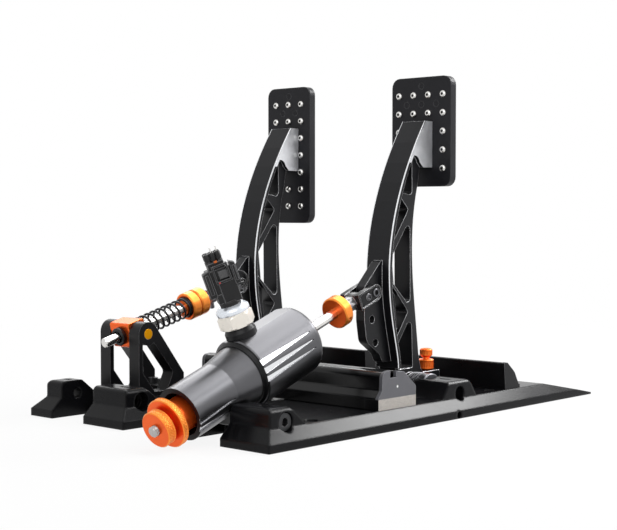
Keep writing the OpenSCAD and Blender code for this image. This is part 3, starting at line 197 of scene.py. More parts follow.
# Finishes of the record's material slots
LOOKS = {
    "base_metal": dict(
        colour=(0.0055, 0.0056, 0.0066), roughness=0.21, specular=0.11, grain=0.7, depth=0.03, spread=0.02,
        tint=0.15, round_mm=2.5),
    # Its edges are painted grey: painted highlight.
    "black_metal": dict(
        colour=(0.006, 0.006, 0.007), roughness=0.32, specular=0.2, grain=0.4, depth=0.1,
        edge=(0.2, 0.2, 0.21), round_mm=0.6),
    "arm_metal": dict(
        colour=(0.008, 0.0082, 0.010), roughness=0.34, specular=0.22, grain=0.35, depth=0.1,
        edge=(0.7, 0.7, 0.72), edge_metal=0.95, round_mm=0.7),
    # Its edges are painted a little lighter: painted highlight.
    "plate_metal": dict(
        colour=(0.012, 0.012, 0.015), roughness=0.40, specular=0.2, grain=0.5, depth=0.2,
        edge=(0.07, 0.07, 0.075), round_mm=1.6),
    "steel": dict(
        colour=(0.68, 0.67, 0.65), roughness=0.22, metallic=1.0, grain=0.3, depth=0.02, spread=0.05,
        round_mm=0.3, lines=(THROTTLE_TILT, 0.3, 0.01)),
    "black_steel": dict(
        colour=(0.035, 0.036, 0.038), roughness=0.34, metallic=0.6, grain=0.3, edge=(0.25, 0.25, 0.26),
        round_mm=0.3),
    "sleeve_metal": dict(
        colour=(0.10, 0.10, 0.11), roughness=0.33, metallic=0.9, grain=0.3, depth=0.08,
        edge=(0.4, 0.4, 0.42)),
    "bronze": dict(colour=(0.34, 0.24, 0.11), roughness=0.4, metallic=1.0, grain=0.4, depth=0.2),
    "bar_plastic": dict(
        colour=(0.004, 0.004, 0.0045), roughness=0.20, specular=0.28, grain=0.8, depth=0.05, round_mm=1.2),
    "cap_plastic": dict(
        colour=(0.10, 0.10, 0.112), roughness=0.45, grain=0.5, depth=0.2, edge=(0.32, 0.32, 0.34),
        round_mm=0.6),
    "foot_metal": dict(
        colour=(0.44, 0.41, 0.38), roughness=0.5, metallic=0.2, grain=0.9, depth=0.4, tint=0.3,
        speckled=True),
    "board_green": dict(colour=(0.014, 0.07, 0.026), roughness=0.35, grain=1.2, depth=0.1),
    "socket_metal": dict(colour=(0.7, 0.7, 0.71), roughness=0.2, metallic=1.0),
    "light_white": dict(colour=(0.88, 0.88, 0.86), roughness=0.35, grain=0.4, tint=0.03),
    "barrel_metal": dict(
        colour=(0.115, 0.115, 0.122), roughness=0.33, metallic=1.0, grain=0.25, depth=0.006, spread=0.02,
        tint=0.04),
    "shoulder_metal": dict(
        colour=(0.006, 0.006, 0.007), roughness=0.33, specular=0.22, grain=0.3, edge=(0.06, 0.06, 0.063),
        round_mm=0.8),
    "gland_metal": dict(
        colour=(0.3, 0.3, 0.31), roughness=0.3, metallic=1.0, lines=(BRAKE_TILT, 0.2, 0.1)),
    "damper_rubber": dict(colour=(0.27, 0.03, 0.02), roughness=0.7, grain=0.6, depth=0.3),
    "sensor_metal": dict(
        colour=(0.92, 0.87, 0.79), roughness=0.3, metallic=0.5, grain=0.35, depth=0.015, spread=0.03,
        tint=0.03, round_mm=0.3),
    # Its edges are painted lighter grey: painted highlight.
    "plug_plastic": dict(
        colour=(0.009, 0.009, 0.0095), roughness=0.38, specular=0.3, grain=0.4, depth=0.2,
        edge=(0.11, 0.11, 0.115), round_mm=0.4),
    # Its edges are painted yellow-orange: painted highlight.
    "orange_metal": dict(
        colour=(0.93, 0.125, 0.012), roughness=0.3, metallic=0.75, grain=0.3, depth=0.02, spread=0.03,
        tint=0.04, edge=(1.0, 0.42, 0.06), round_mm=0.6),
    "yellow_metal": dict(
        colour=(1.0, 0.42, 0.006), roughness=0.3, metallic=1.0, grain=0.3, depth=0.02, spread=0.03,
        tint=0.05),
    "bush_plastic": dict(colour=(0.005, 0.005, 0.0055), roughness=0.4, specular=0.3, grain=0.4),
    "spring_steel": dict(colour=(0.005, 0.005, 0.006), roughness=0.22, grain=0.3, depth=0.06),
}
MATERIALS = {slot: finish(slot, **look) for slot, look in LOOKS.items()}

# Finishes of single faces and small pieces, among them painted shade and painted highlights
POLISHED = finish(
    "polished", (0.80, 0.81, 0.83), 0.2, metallic=1.0, grain=0.6, depth=0.03, spread=0.1, tint=0.05,
    round_mm=0.3)
BRUSHED = finish(
    "brushed", (0.80, 0.81, 0.84), 0.38, metallic=0.5, grain=0.35, depth=0.1, spread=0.12, tint=0.16,
    round_mm=0.3)
CRIMPED = finish(
    "crimped", (0.82, 0.86, 0.92), 0.26, metallic=0.7, grain=0.4, depth=0.015, spread=0.03, tint=0.03,
    round_mm=0.4)
# Lighter grey painted on the plug's rounded edges as a highlight
PLUG_EDGE_HIGHLIGHT = finish("plug_edge_painted_highlight", (0.11, 0.11, 0.115), 0.34, grain=0.3, depth=0.1)
# Lighter orange painted on the rims of orange rings as a highlight
RIM_HIGHLIGHT = finish(
    "orange_rim_painted_highlight", (1.0, 0.29, 0.04), 0.33, metallic=0.7, grain=0.3, depth=0.02, spread=0.03, tint=0.04)
COUPLING = finish(
    "coupling_steel", (0.34, 0.34, 0.35), 0.36, metallic=0.8, grain=0.35, depth=0.06, spread=0.08,
    round_mm=0.4)
THREADED = finish(
    "threaded_steel", (0.46, 0.45, 0.44), 0.28, metallic=1.0, grain=0.3, depth=0.04, spread=0.08,
    round_mm=0.2)
# Near-black painted shade for sockets, the front barrel's rim and mouth and the lug below it
PAINTED_SHADE = finish("painted_recess_shade", (0.004, 0.004, 0.004), 0.5, specular=0.2, grain=0.3)
FORK = finish(
    "fork_metal", (0.007, 0.007, 0.008), 0.32, specular=0.22, grain=0.35, depth=0.1, edge=(0.7, 0.7, 0.72),
    edge_metal=0.95, round_mm=0.45)
SEAL = finish("seal_rubber", (0.80, 0.17, 0.02), 0.5, grain=0.3, tint=0.05)
TONGUE = finish("tongue_plastic", (0.07, 0.07, 0.072), 0.45, grain=0.3, depth=0.2)
MARK = finish("mark_red", (0.75, 0.02, 0.02), 0.45, grain=0.3, tint=0.05)


def dress_nodes():
    """Gives each CAD node the finish of its material slot in the record."""
    for part in frame["record"]["subparts"]:
        mesh = NODES[part["node"]].data
        mesh.materials.clear()
        mesh.materials.append(MATERIALS[part["material_slot"]])


# Frames and measures taken from the CAD

def joint_frame(name):
    """Frame of a joint: z runs along its axis, x across the set; on the struts -y is up."""
    z = Vector(JOINTS[name]["axis"]).normalized()
    x = Vector((1, 0, 0))
    rotation = Matrix((x, z.cross(x), z)).transposed()
    return Matrix.Translation(JOINTS[name]["pos_m"]) @ rotation.to_4x4()


def extent(node, place):
    """A node's lowest and highest point along z, then its least and greatest radius, in the frame place."""
    inverse = place.inverted()
    points = [inverse @ vertex.co for vertex in NODES[node].data.vertices]
    heights = [p.z for p in points]
    radii = [math.hypot(p.x, p.y) for p in points]
    return min(heights), max(heights), min(radii), max(radii)


BRAKE = joint_frame("preload_ring_turn")
THROTTLE = joint_frame("spring_ring_turn")


# Mesh building

def ring_points(centre, a, b, radius, sides):
    """Points of a circle in the plane of a and b."""
    angles = [TURN * k / sides for k in range(sides)]
    return [centre + radius * (math.cos(angle) * a + math.sin(angle) * b) for angle in angles]


def join_rings(bm, rings, closed=False):
    """Bands of faces between neighbouring rings; a ring may repeat one vertex where it closes to a point."""
    pairs = list(zip(rings, rings[1:])) + ([(rings[-1], rings[0])] if closed else [])
    bands = []
    for low, high in pairs:
        faces = []
        for i in range(len(low)):
            j = (i + 1) % len(low)
            corners = list(dict.fromkeys((low[i], low[j], high[j], high[i])))
            if len(corners) > 2:
                faces.append(bm.faces.new(corners))
        bands.append(faces)
    return bands


def add_loft(bm, rings):
    """Bands of faces between rings of points, closed at both ends."""
    rings = [[bm.verts.new(point) for point in ring] for ring in rings]
    join_rings(bm, rings)
    bm.faces.new(rings[0][::-1])
    bm.faces.new(rings[-1])


def paint(bands, index):
    """Gives faces another of their piece's materials."""
    for faces in bands:
        for face in faces:
            face.material_index = index


def in_metres(profile):
    """A profile in metres, made from one in mm."""
    return [(radius * MM, height * MM, share) for radius, height, share in profile]


def add_turned(bm, profile, segments, relief=None, place=Matrix.Identity(4)):
    """Turns a closed profile of (radius, height, relief share) round z."""
    rings = []
    for radius, height, share in profile:
        if radius == 0:
            rings.append([bm.verts.new(place @ Vector((0, 0, height)))] * segments)
            continue
        ring = []
        for i in range(segments):
            angle = TURN * i / segments
            r = radius - (share * relief(angle, height, radius) if share else 0)
            ring.append(bm.verts.new(place @ Vector((r * math.cos(angle), r * math.sin(angle), height))))
        rings.append(ring)
    return join_rings(bm, rings, closed=True)


def add_tube(bm, points, radius, sides=12):
    """Round wire along a path, with closed ends."""
    rings = []
    side = None
    last = len(points) - 1
    for i, point in enumerate(points):
        ahead = (points[min(i + 1, last)] - points[max(i - 1, 0)]).normalized()
        side = side or ahead.orthogonal().normalized()
        side = (side - side.dot(ahead) * ahead).normalized()
        rings.append(ring_points(point, side, ahead.cross(side), radius, sides))
    add_loft(bm, rings)


def add_block(bm, x, y, z, rounding, slant=(0, 0), index=0, edge_highlight_index=None):
    """A box in mm with rounded edges. slant lowers the top at its low-y and high-y ends.

    index is the material of its faces; the rounded edges can take another material, a lighter colour painted as a
    highlight."""
    known = set(bm.faces)
    corners = [
        bm.verts.new(Vector((a, b, c)) * MM)
        for a in x for b in y for c in (z[0], z[1] - slant[b == y[1]])
    ]
    quads = ((0, 1, 3, 2), (4, 6, 7, 5), (0, 4, 5, 1), (2, 3, 7, 6), (0, 2, 6, 4), (1, 5, 7, 3))
    faces = [bm.faces.new([corners[i] for i in quad]) for quad in quads]
    edges = list({edge for face in faces for edge in face.edges})
    rounded = bmesh.ops.bevel(bm, geom=edges, offset=rounding * MM, segments=2, profile=0.5, affect="EDGES")
    paint([[face for face in bm.faces if face not in known]], index)
    if edge_highlight_index is not None:
        paint([rounded["faces"]], edge_highlight_index)


def piece(name, bm, place, slot, body, nodes=(), sharp=35, materials=None):
    """Makes a bmesh a piece that rides on a body and stands for the CAD nodes."""
    bmesh.ops.recalc_face_normals(bm, faces=bm.faces)
    mesh = bpy.data.meshes.new(name)
    bm.to_mesh(mesh)
    bm.free()
    mesh.shade_smooth()
    mesh.set_sharp_from_angle(angle=math.radians(sharp))
    for material in materials or [MATERIALS[slot]]:
        mesh.materials.append(material)
    made = bpy.data.objects.new(name, mesh)
    bpy.context.scene.collection.objects.link(made)
    made.matrix_world = place
    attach(made, body)
    if nodes:
        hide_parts(*nodes)
    return made


# Reliefs of turned pieces: how far the surface lies inside the profile

def wave(x):
    """Triangle wave of period 1, from 1 down to 0 and back."""
    return abs(2 * (x % 1.0) - 1)


def diamond_knurl(teeth, rim_r, depth):
    pitch = TURN * rim_r / teeth

    def relief(angle, height, radius):
        around = angle * teeth / TURN
        return depth * max(wave(around + height / pitch), wave(around - height / pitch))
    return relief


def straight_knurl(teeth, depth):
    def relief(angle, height, radius):
        return depth * wave(angle * teeth / TURN) ** 1.5
    return relief


def thread(pitch, depth):
    def relief(angle, height, radius):
        return depth * wave(height / pitch - angle / TURN)
    return relief


def corner_radius(across):
    """Radius to the corners of a hexagon, from its size across flats."""
    return across / 2 / math.cos(TURN / 12)


def hexagon(across):
    """Cuts a round profile down to a hexagon."""
    def relief(angle, height, radius):
        return max(0.0, radius - across / 2 / math.cos(angle % (TURN / 6) - TURN / 12))
    return relief


def band(radius, low, high, rows):
    """Profile rows of a knurled or threaded band, which runs out at both ends."""
    return [
        (radius, low + (high - low) * i / rows, 0.0 if i in (0, rows) else 1.0) for i in range(rows + 1)
    ]


def rim_profile(r_in, r_out, low, high, chamfer, rows):
    """A ring with chamfered corners and a knurled rim."""
    return (
        [(r_in, low, 0), (r_out - chamfer, low, 0)]
        + band(r_out, low + chamfer, high - chamfer, rows)
        + [(r_out - chamfer, high, 0), (r_in, high, 0)]
    )


# Knurled and threaded pieces of the brake cylinder

KNURL_PITCH = 2.3 * MM
KNURL_DEPTH = 0.6 * MM
# Mesh rows and columns on each tooth of the knurl
KNURL_STEPS = 4
RIM_CHAMFER = 0.7 * MM
# Depth of the lock knob's neck inside its rim, and its length
KNOB_NECK = (5 * MM, 1.6 * MM)


def knurled_ring(node, body, neck=None):
    """A ring with a crossed knurl, and with a neck below its rim where one is given."""
    low, high, r_in, r_out = extent(node, BRAKE)
    rim_low, rim_in, foot = low, r_in, []
    if neck:
        rim_low, rim_in = low + neck[1], r_out - neck[0]
        foot = [(r_in, low, 0), (rim_in, low, 0)]
    teeth = round(TURN * r_out / KNURL_PITCH)
    rows = round((high - rim_low) / KNURL_PITCH * KNURL_STEPS)
    profile = foot + rim_profile(rim_in, r_out, rim_low, high, RIM_CHAMFER, rows)
    profile[-1] = (r_in, high, 0)
    bm = bmesh.new()
    bands = add_turned(bm, profile, teeth * KNURL_STEPS, diamond_knurl(teeth, r_out, KNURL_DEPTH))
    # The knurled rim is painted the lighter orange: painted highlight where the light catches it.
    paint(bands[len(foot) + 1:-2], 1)
    piece("knurled_" + node, bm, BRAKE, "orange_metal", body, [node],
          materials=[MATERIALS["orange_metal"], RIM_HIGHLIGHT])


def preload_stud():
    """The stud of the preload, with a thread on its free end."""
    pitch, threaded, thread_depth, chamfer = 1.25 * MM, 30 * MM, 0.6 * MM, 0.8 * MM
    rows_per_turn = 6
    low, high, _, r = extent("preload_stud", BRAKE)
    profile = (
        [(0, low, 0), (r - chamfer, low, 0), (r, low + chamfer, 0)]
        + band(r, high - threaded, high - chamfer, round(threaded / pitch * rows_per_turn))
        + [(r - chamfer, high, 0), (0, high, 0)]
    )
    bm = bmesh.new()
    add_turned(bm, profile, 48, thread(pitch, thread_depth))
    piece("threaded_preload_stud", bm, BRAKE, "steel", "brake_cylinder", ["preload_stud"],
          materials=[THREADED])


# Stop screws and their lock wheels

RIBS = 26
RIB_DEPTH = 0.45 * MM
RIB_ROWS = 6
RIB_STEPS = 6
SCREW_PITCH = 1.0 * MM
SCREW_THREAD = 0.35 * MM
SCREW_CHAMFER = 0.8 * MM
SCREW_CLEARANCE = 0.05 * MM
# Gap between wheel and knob, and how far the screw runs up into the knob
SCREW_NECK = 2.0 * MM
SCREW_SEAT = 1.0 * MM
KNOB_FOOT = 0.9 * MM
KNOB_CHAMFER = 1.2 * MM
WHEEL_CHAMFER = 0.9 * MM
# Dish in the knob's top: where its edge and its floor begin inside the rim, and its depth
DISH_EDGE, DISH_FLOOR, DISH_DEPTH = 2.4 * MM, 2.8 * MM, 0.4 * MM


def stop_screw(pedal, place):
    """A stop screw with a ribbed knob and a threaded shank."""
    tip, top, _, knob_r = extent(pedal + "_stop_screw", place)
    _, wheel_high, bore_r, _ = extent(pedal + "_lock_wheel", place)
    shank_r = bore_r - SCREW_CLEARANCE
    knob_low = wheel_high + SCREW_NECK
    rows_per_turn = 5
    shank = (
        [(0, tip, 0), (shank_r - SCREW_CHAMFER, tip, 0)]
        + band(shank_r, tip + SCREW_CHAMFER, knob_low, round((knob_low - tip) / SCREW_PITCH * rows_per_turn))
        + [(0, knob_low + SCREW_SEAT, 0)]
    )
    knob = (
        [(0, knob_low, 0), (shank_r + KNOB_FOOT, knob_low, 0)]
        + band(knob_r, knob_low + KNOB_CHAMFER, top - KNOB_CHAMFER, RIB_ROWS)
        + [(knob_r - KNOB_CHAMFER, top, 0), (knob_r - DISH_EDGE, top, 0)]
        + [(knob_r - DISH_FLOOR, top - DISH_DEPTH, 0), (0, top - DISH_DEPTH, 0)]
    )
    bm = bmesh.new()
    add_turned(bm, shank, 40, thread(SCREW_PITCH, SCREW_THREAD))
    add_turned(bm, knob, RIBS * RIB_STEPS, straight_knurl(RIBS, RIB_DEPTH))
    piece(pedal + "_ribbed_stop_screw", bm, place, "orange_metal", pedal + "_stop", [pedal + "_stop_screw"])


def lock_wheel(pedal, place):
    """The ribbed wheel that locks a stop screw."""
    low, high, bore_r, wheel_r = extent(pedal + "_lock_wheel", place)
    profile = rim_profile(bore_r, wheel_r, low, high, WHEEL_CHAMFER, RIB_ROWS)
    bm = bmesh.new()
    add_turned(bm, profile, RIBS * RIB_STEPS, straight_knurl(RIBS, RIB_DEPTH))
    piece(pedal + "_ribbed_lock_wheel", bm, place, "orange_metal", pedal + "_lock", [pedal + "_lock_wheel"])


# Return spring

SPRING_TURNS = 10
# Points on each turn, turns that lie close at each end, and their pitch in wire radii
SPRING_STEPS, END_TURNS, END_PITCH = 32, 1.5, 2.15


def return_spring():
    """Round wire wound with tight end turns."""
    low, high, r_in, r_out = extent("return_spring", THROTTLE)
    wire_r = (r_out - r_in) / 2
    radius = r_out - wire_r
    end_pitch = END_PITCH * wire_r
    start, stop = low + wire_r, high - wire_r
    open_l = stop - start - 2 * END_TURNS * end_pitch
    total = SPRING_TURNS + 1

    def height(turn):
        if turn < END_TURNS:
            return start + turn * end_pitch
        if turn > total - END_TURNS:
            return stop - (total - turn) * end_pitch
        return start + END_TURNS * end_pitch + (turn - END_TURNS) / (total - 2 * END_TURNS) * open_l

    points = []
    for i in range(total * SPRING_STEPS + 1):
        turn = i / SPRING_STEPS
        points.append(Vector((
            radius * math.cos(TURN * turn), radius * math.sin(TURN * turn), height(turn))))
    bm = bmesh.new()
    add_tube(bm, points, wire_r)
    made = piece("wound_return_spring", bm, THROTTLE, "spring_steel", "spring_swivel", ["return_spring"])
    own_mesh(made)


# Grip studs, in mm

# Vertices closer together than this belong to one stud
STUD_REACH = 8.0
STUD_R, STUD_HEAD, STUD_SHANK_R = 3.1, 2.2, 2.0
STUD_SOCKET, STUD_SOCKET_DEPTH, STUD_SOCKET_LIP = 1.8, 1.4, 0.1
# Radius of the flat on top of the dome, and height of the head's edge
STUD_FLAT_R, STUD_EDGE = 1.2, 0.5
STUD_DOME_STEPS = 5
# Points that round the tip: inside the shank's radius and up from its end
STUD_TIP = ((0.9, 0.0), (0.3, 0.25), (0.0, 0.8))


def middle(values):
    return (min(values) + max(values)) / 2


def stud_axes(node):
    """Middle of each stud of a node, as (x, z)."""
    groups = []
    for vertex in NODES[node].data.vertices:
        spot = Vector((vertex.co.x, vertex.co.z))
        near = [group for group in groups if (group[0] - spot).length < STUD_REACH * MM]
        if near:
            near[0].append(spot)
        else:
            groups.append([spot])
    return [(middle([p.x for p in group]), middle([p.y for p in group])) for group in groups]


def stud_profile(tip):
    """Profile of a stud from its rounded tip to the floor of its socket."""
    rounded = [(STUD_SHANK_R - inside, tip + up, 0) for inside, up in STUD_TIP]
    shank = [(0, tip, 0)] + rounded + [(STUD_SHANK_R, 0, 0)]
    dome = [(STUD_R, 0, 0)]
    for i in range(STUD_DOME_STEPS + 1):
        angle = TURN / 4 * i / STUD_DOME_STEPS
        radius = STUD_FLAT_R + (STUD_R - STUD_FLAT_R) * math.cos(angle)
        dome.append((radius, STUD_EDGE + (STUD_HEAD - STUD_EDGE) * math.sin(angle), 0))
    corner, floor_h = corner_radius(STUD_SOCKET), STUD_HEAD - STUD_SOCKET_DEPTH
    socket = [(corner, STUD_HEAD - STUD_SOCKET_LIP, 1), (corner, floor_h, 1), (0, floor_h, 0)]
    return shank + dome + socket


def grip_studs(pedal):
    """Domed studs with a hexagon socket in front of the plate and a rounded tip behind it."""
    node = pedal + "_plate_studs"
    low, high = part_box(node)
    profile = in_metres(stud_profile((low.y - high.y) / MM + STUD_HEAD))
    bm = bmesh.new()
    for x, z in stud_axes(node):
        place = Matrix.Translation((x, high.y - STUD_HEAD * MM, z)) @ Matrix.Rotation(-TURN / 4, 4, "X")
        bands = add_turned(bm, profile, 36, hexagon(STUD_SOCKET * MM), place)
        # The socket's wall and floor are painted near-black: painted shade inside the socket.
        paint(bands[-4:-1], 1)
    piece(pedal + "_domed_studs", bm, Matrix.Identity(4), "steel", pedal + "_pedal", [node],
          materials=[MATERIALS["steel"], PAINTED_SHADE])


# Forks and their pins, in mm

# Radius at the pin, outer and inner face of a cheek, where the bridge begins and half its width
FORK_R, FORK_SIDE, FORK_INSIDE, BRIDGE_AT, BRIDGE_HALF = 7.0, 10.1, 5.1, 14.5, 6.4
# How far the bridge ends inside the cheeks
BRIDGE_SHORT = 0.1
# Rounding of the cheeks and the bridge, and the pocket's depth and its inset at the rim and on the floor
FORK_ROUNDING, POCKET_DEPTH, POCKET_RIM, POCKET_FLOOR = 0.4, 1.3, 1.5, 1.7
# Corner of a cheek at the bridge: its size, and the inset of the point between its ends
CORNER, CORNER_INSET = 1.0, 0.3
CHEEK_STEPS = 20
FORK_MATERIALS = [FORK, COUPLING, PAINTED_SHADE, MATERIALS["sleeve_metal"]]

# Profile of the coupling from the fork's end: a neck with flats, a groove and a drum
COUPLING_L = 13.0
COUPLING_FLATS = 11.0
COUPLING_PROFILE = [
    (0, -1, 0), (6.4, -1, 1), (6.4, 5, 1), (5.6, 5.6, 0), (5.6, 6.2, 0), (6.1, 6.4, 0), (6.5, 6.9, 0),
    (6.5, COUPLING_L - 0.5, 0), (6.0, COUPLING_L, 0), (0, COUPLING_L, 0),
]
# The screw that clamps the coupling on the rod: distance from the axis and from the fork's end
CLAMP_AT = (6.2, 9.6)
CLAMP_FLATS = 4.0
CLAMP_PROFILE = [(0, -2, 0), (2.3, -2, 1), (2.3, 4.2, 1), (1.9, 4.7, 0), (0, 4.7, 0)]

# Radius, height and socket of a head, then where it sits along the fork
PIN_HEAD = (3.5, 1.1, 3.5, 0.0)
SECOND_HEAD = (2.7, 0.9, 2.5, 9.2)
HEAD_ROUNDING, HEAD_FOOT, SOCKET_DEPTH, SOCKET_LIP = 0.4, 1.0, 1.6, 0.15
PIN_SHANK_R = 3.2
# How far the pin's shank stays inside the cheeks' outer faces
PIN_SHORT = 1.6
PIN_MATERIALS = [MATERIALS["black_steel"], MATERIALS["sleeve_metal"], PAINTED_SHADE]


def cheek_outline(inset, length):
    """Outline of a cheek as (y, z): round at the pin, square at the bridge with rounded corners."""
    r, end = FORK_R - inset, length - inset
    angles = [TURN / 2 * (1 + i / CHEEK_STEPS) for i in range(CHEEK_STEPS + 1)]
    corner = [(r, end - CORNER), (r - CORNER_INSET, end - CORNER_INSET), (r - CORNER, end)]
    return (
        [(r * math.cos(angle), r * math.sin(angle)) for angle in angles]
        + corner + [(-y, z) for y, z in reversed(corner)]
    )


def add_socket_head(bm, side, head, materials):
    """A low round head with a hexagon socket, which stands out of the pocket of a cheek."""
    radius, height, socket, along = head
    pocket = Vector((side * (FORK_SIDE - POCKET_DEPTH), 0, along)) * MM
    place = Matrix.Translation(pocket) @ Matrix.Rotation(side * TURN / 4, 4, "Y")
    corner, floor_h = corner_radius(socket), height - SOCKET_DEPTH
    profile = [
        (0, -HEAD_FOOT, 0), (radius, -HEAD_FOOT, 0),
        (radius, height - HEAD_ROUNDING, 0), (radius - HEAD_ROUNDING, height, 0),
        (corner + SOCKET_LIP, height, 0), (corner, height - SOCKET_LIP, 1),
        (corner, floor_h, 1), (0, floor_h, 0),
    ]
    bands = add_turned(bm, in_metres(profile), 48, hexagon(socket * MM), place)
    # The socket's wall and floor are painted near-black: painted shade inside the socket.
    paint(bands[-4:-1], materials.index(PAINTED_SHADE))
    paint(bands[:-4], materials.index(MATERIALS["sleeve_metal"]))


def strut_frame(pedal, turn):
    """Frame of a strut with its origin on the clevis pin."""
    low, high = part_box(pedal + "_clevis_pin")
    return Matrix.Translation((low + high) / 2) @ turn.to_3x3().to_4x4()


def fork(pedal, place):
    """Fork with pocketed cheeks, an open slot and a steel coupling with its clamp screw."""
    length = extent(pedal + "_clevis", place)[1] / MM - COUPLING_L
    # Outlines of a cheek from its inner face to its pocket: inset and distance from the middle
    rows = (
        (0, FORK_INSIDE), (0, FORK_SIDE - FORK_ROUNDING), (FORK_ROUNDING, FORK_SIDE),
        (POCKET_RIM, FORK_SIDE), (POCKET_FLOOR, FORK_SIDE - POCKET_DEPTH),
    )
    bm = bmesh.new()
    for side in (-1, 1):
        add_loft(bm, [
            [Vector((side * x, y, z)) * MM for y, z in cheek_outline(inset, length)] for inset, x in rows
        ])
        add_socket_head(bm, side, SECOND_HEAD, FORK_MATERIALS)
    bridge = FORK_INSIDE + FORK_ROUNDING
    add_block(bm, (-bridge, bridge), (-BRIDGE_HALF, BRIDGE_HALF), (BRIDGE_AT, length - BRIDGE_SHORT),
              FORK_ROUNDING)

    end = Matrix.Translation((0, 0, length * MM))
    neck = add_turned(bm, in_metres(COUPLING_PROFILE), 72, hexagon(COUPLING_FLATS * MM), end)
    below = end @ Matrix.Translation(Vector((0, *CLAMP_AT)) * MM) @ Matrix.Rotation(-TURN / 4, 4, "X")
    clamp = add_turned(bm, in_metres(CLAMP_PROFILE), 36, hexagon(CLAMP_FLATS * MM), below)
    paint(neck + clamp, FORK_MATERIALS.index(COUPLING))
    piece(pedal + "_pocketed_fork", bm, place, "black_metal", pedal + "_push_rod", [pedal + "_clevis"],
          materials=FORK_MATERIALS)


def fork_pin(pedal, place):
    """The pin through a fork, with a socket head on both sides."""
    bm = bmesh.new()
    for side in (-1, 1):
        add_socket_head(bm, side, PIN_HEAD, PIN_MATERIALS)
    reach = FORK_SIDE - PIN_SHORT
    shank = [(0, -reach, 0), (PIN_SHANK_R, -reach, 0), (PIN_SHANK_R, reach, 0), (0, reach, 0)]
    add_turned(bm, in_metres(shank), 32, place=Matrix.Rotation(TURN / 4, 4, "Y"))
    piece(pedal + "_socketed_pin", bm, place, "black_steel", pedal + "_pedal", [pedal + "_clevis_pin"],
          materials=PIN_MATERIALS)


# Pressure sensor, in mm

SENSOR_LEAN = math.radians(6.5)
SENSOR_HEX = 24.0
# Profile above the cylinder's axis: a hexagon with turned-off corners and a groove, then a crimped collar
HEX_PROFILE = [
    (0, 30, 0), (6, 30, 0), (6, 34, 0), (12.2, 34, 1), (13.86, 35, 1), (13.86, 43, 1), (12.4, 44, 1),
    (11.9, 44.2, 0),
]
COLLAR_PROFILE = [
    (11.9, 44.8, 0), (12.5, 45, 0), (12.7, 45.5, 0), (12.7, 47.4, 0), (12.2, 48.7, 0), (11, 49.9, 0),
    (9.6, 50.7, 0), (9, 51.2, 0), (0, 51.2, 0),
]


def sensor_frame():
    """Frame of the pressure sensor: z runs up its axis, x across the set and y forward."""
    low, high, _, _ = extent("sensor_port", BRAKE)
    return (
        BRAKE @ Matrix.Translation((0, 0, (low + high) / 2))
        @ Matrix.Rotation(SENSOR_LEAN, 4, "Z") @ Matrix.Rotation(math.pi / 2, 4, "X")
    )


def hex_sensor():
    """The sensor's body, with its collar in another finish."""
    bm = bmesh.new()
    bands = add_turned(bm, in_metres(HEX_PROFILE + COLLAR_PROFILE), 144, hexagon(SENSOR_HEX * MM))
    paint(bands[len(HEX_PROFILE):], 1)
    piece("hex_sensor", bm, sensor_frame(), "sensor_metal", "brake_cylinder", ["pressure_sensor"], sharp=25,
          materials=[MATERIALS["sensor_metal"], CRIMPED])


# Plug of the sensor, in mm: z runs up from the sensor, and the latch is on the low-x side

PLUG_TURN = math.radians(-35)
PLUG_SKIRT = [(0, -0.5, 0), (7.9, -0.5, 0), (7.9, 3, 0), (7.3, 3.8, 0), (0, 3.8, 0)]
# Moulded blocks: extents along x, y and z, rounding, and the fall of the top at its low-y and high-y ends
PLUG_BLOCKS = {
    "body": ((-5.4, 6.6), (-10.2, 10.2), (8.5, 29.5), 0.6),
    "panel": ((-6.6, 6.0), (-9.4, 4.0), (1.8, 19.6), 0.6),
    "step": ((-5.6, 5.4), (3.4, 8.4), (3.4, 11), 0.6),
    "latch_low_rail": ((-8.8, -5.2), (-6.9, -5.4), (19.4, 33), 0.35),
    "latch_high_rail": ((-8.8, -5.2), (3.9, 5.4), (19.4, 33), 0.35),
    "latch_sill": ((-8.8, -5.2), (-6.9, 5.4), (18.8, 20.8), 0.4),
    "latch_top": ((-8.4, -5.2), (-6.9, 5.4), (31.4, 33), 0.4),
    "high_wing": ((-7.6, -1.4), (7.4, 13.2), (9.7, 31), 0.5, (0, 1.8)),
    "high_wing_rib": ((-8.0, -7.0), (9.0, 11.6), (12.5, 28), 0.35),
    "low_wing": ((-7.6, -1.4), (-12.5, -8.4), (14.5, 33), 0.5, (2.4, 0)),
    "low_wing_rib": ((-8.0, -7.0), (-11.6, -9.6), (17, 29), 0.35),
    "ear_root": ((-6.2, -4.4), (-14.4, -10), (12.6, 14.2), 0.3),
    "neck": ((-5.0, 5.0), (-5.4, 7.4), (28, 35), 0.6),
}
LATCH_TONGUE = ((-7.9, -5.2), (-5.2, 1.8), (22, 28), 0.4)
LATCH_MARK = ((-9.1, -8.4), (2.4, 3.5), (19.3, 20.3), 0.15)
NECK_SEAL = ((-5.5, -4.4), (-0.8, 1.8), (34.2, 35.8), 0.3)
# The ear is a half loop of wire
EAR_CENTRE = (-5.4, -11.4, 16.7)
EAR_R, EAR_WIRE_R, EAR_STEPS = 6.2, 0.85, 20
# Pipes of the neck in two rows, with a contact in two of them
PIPE_X, PIPE_Y = (-2.4, 2.4), (-3.2, 1.1, 5.4)
PIPE_PROFILE = [
    (0, 33, 0), (2.3, 33, 0), (2.3, 35.6, 0), (2.0, 35.9, 0), (2.0, 36.5, 0), (2.3, 36.8, 0), (2.3, 41.4, 0),
    (1.9, 42, 0), (1.3, 42, 0), (1.3, 40, 0), (0, 40, 0),
]
CONTACT_X, CONTACT_HALF, CONTACT_Z, CONTACT_ROUNDING = (-2.8, -2.0), 0.5, (39, 46), 0.15
PLUG_MATERIALS = [MATERIALS["plug_plastic"], MATERIALS["steel"], TONGUE, SEAL, MARK, PLUG_EDGE_HIGHLIGHT]


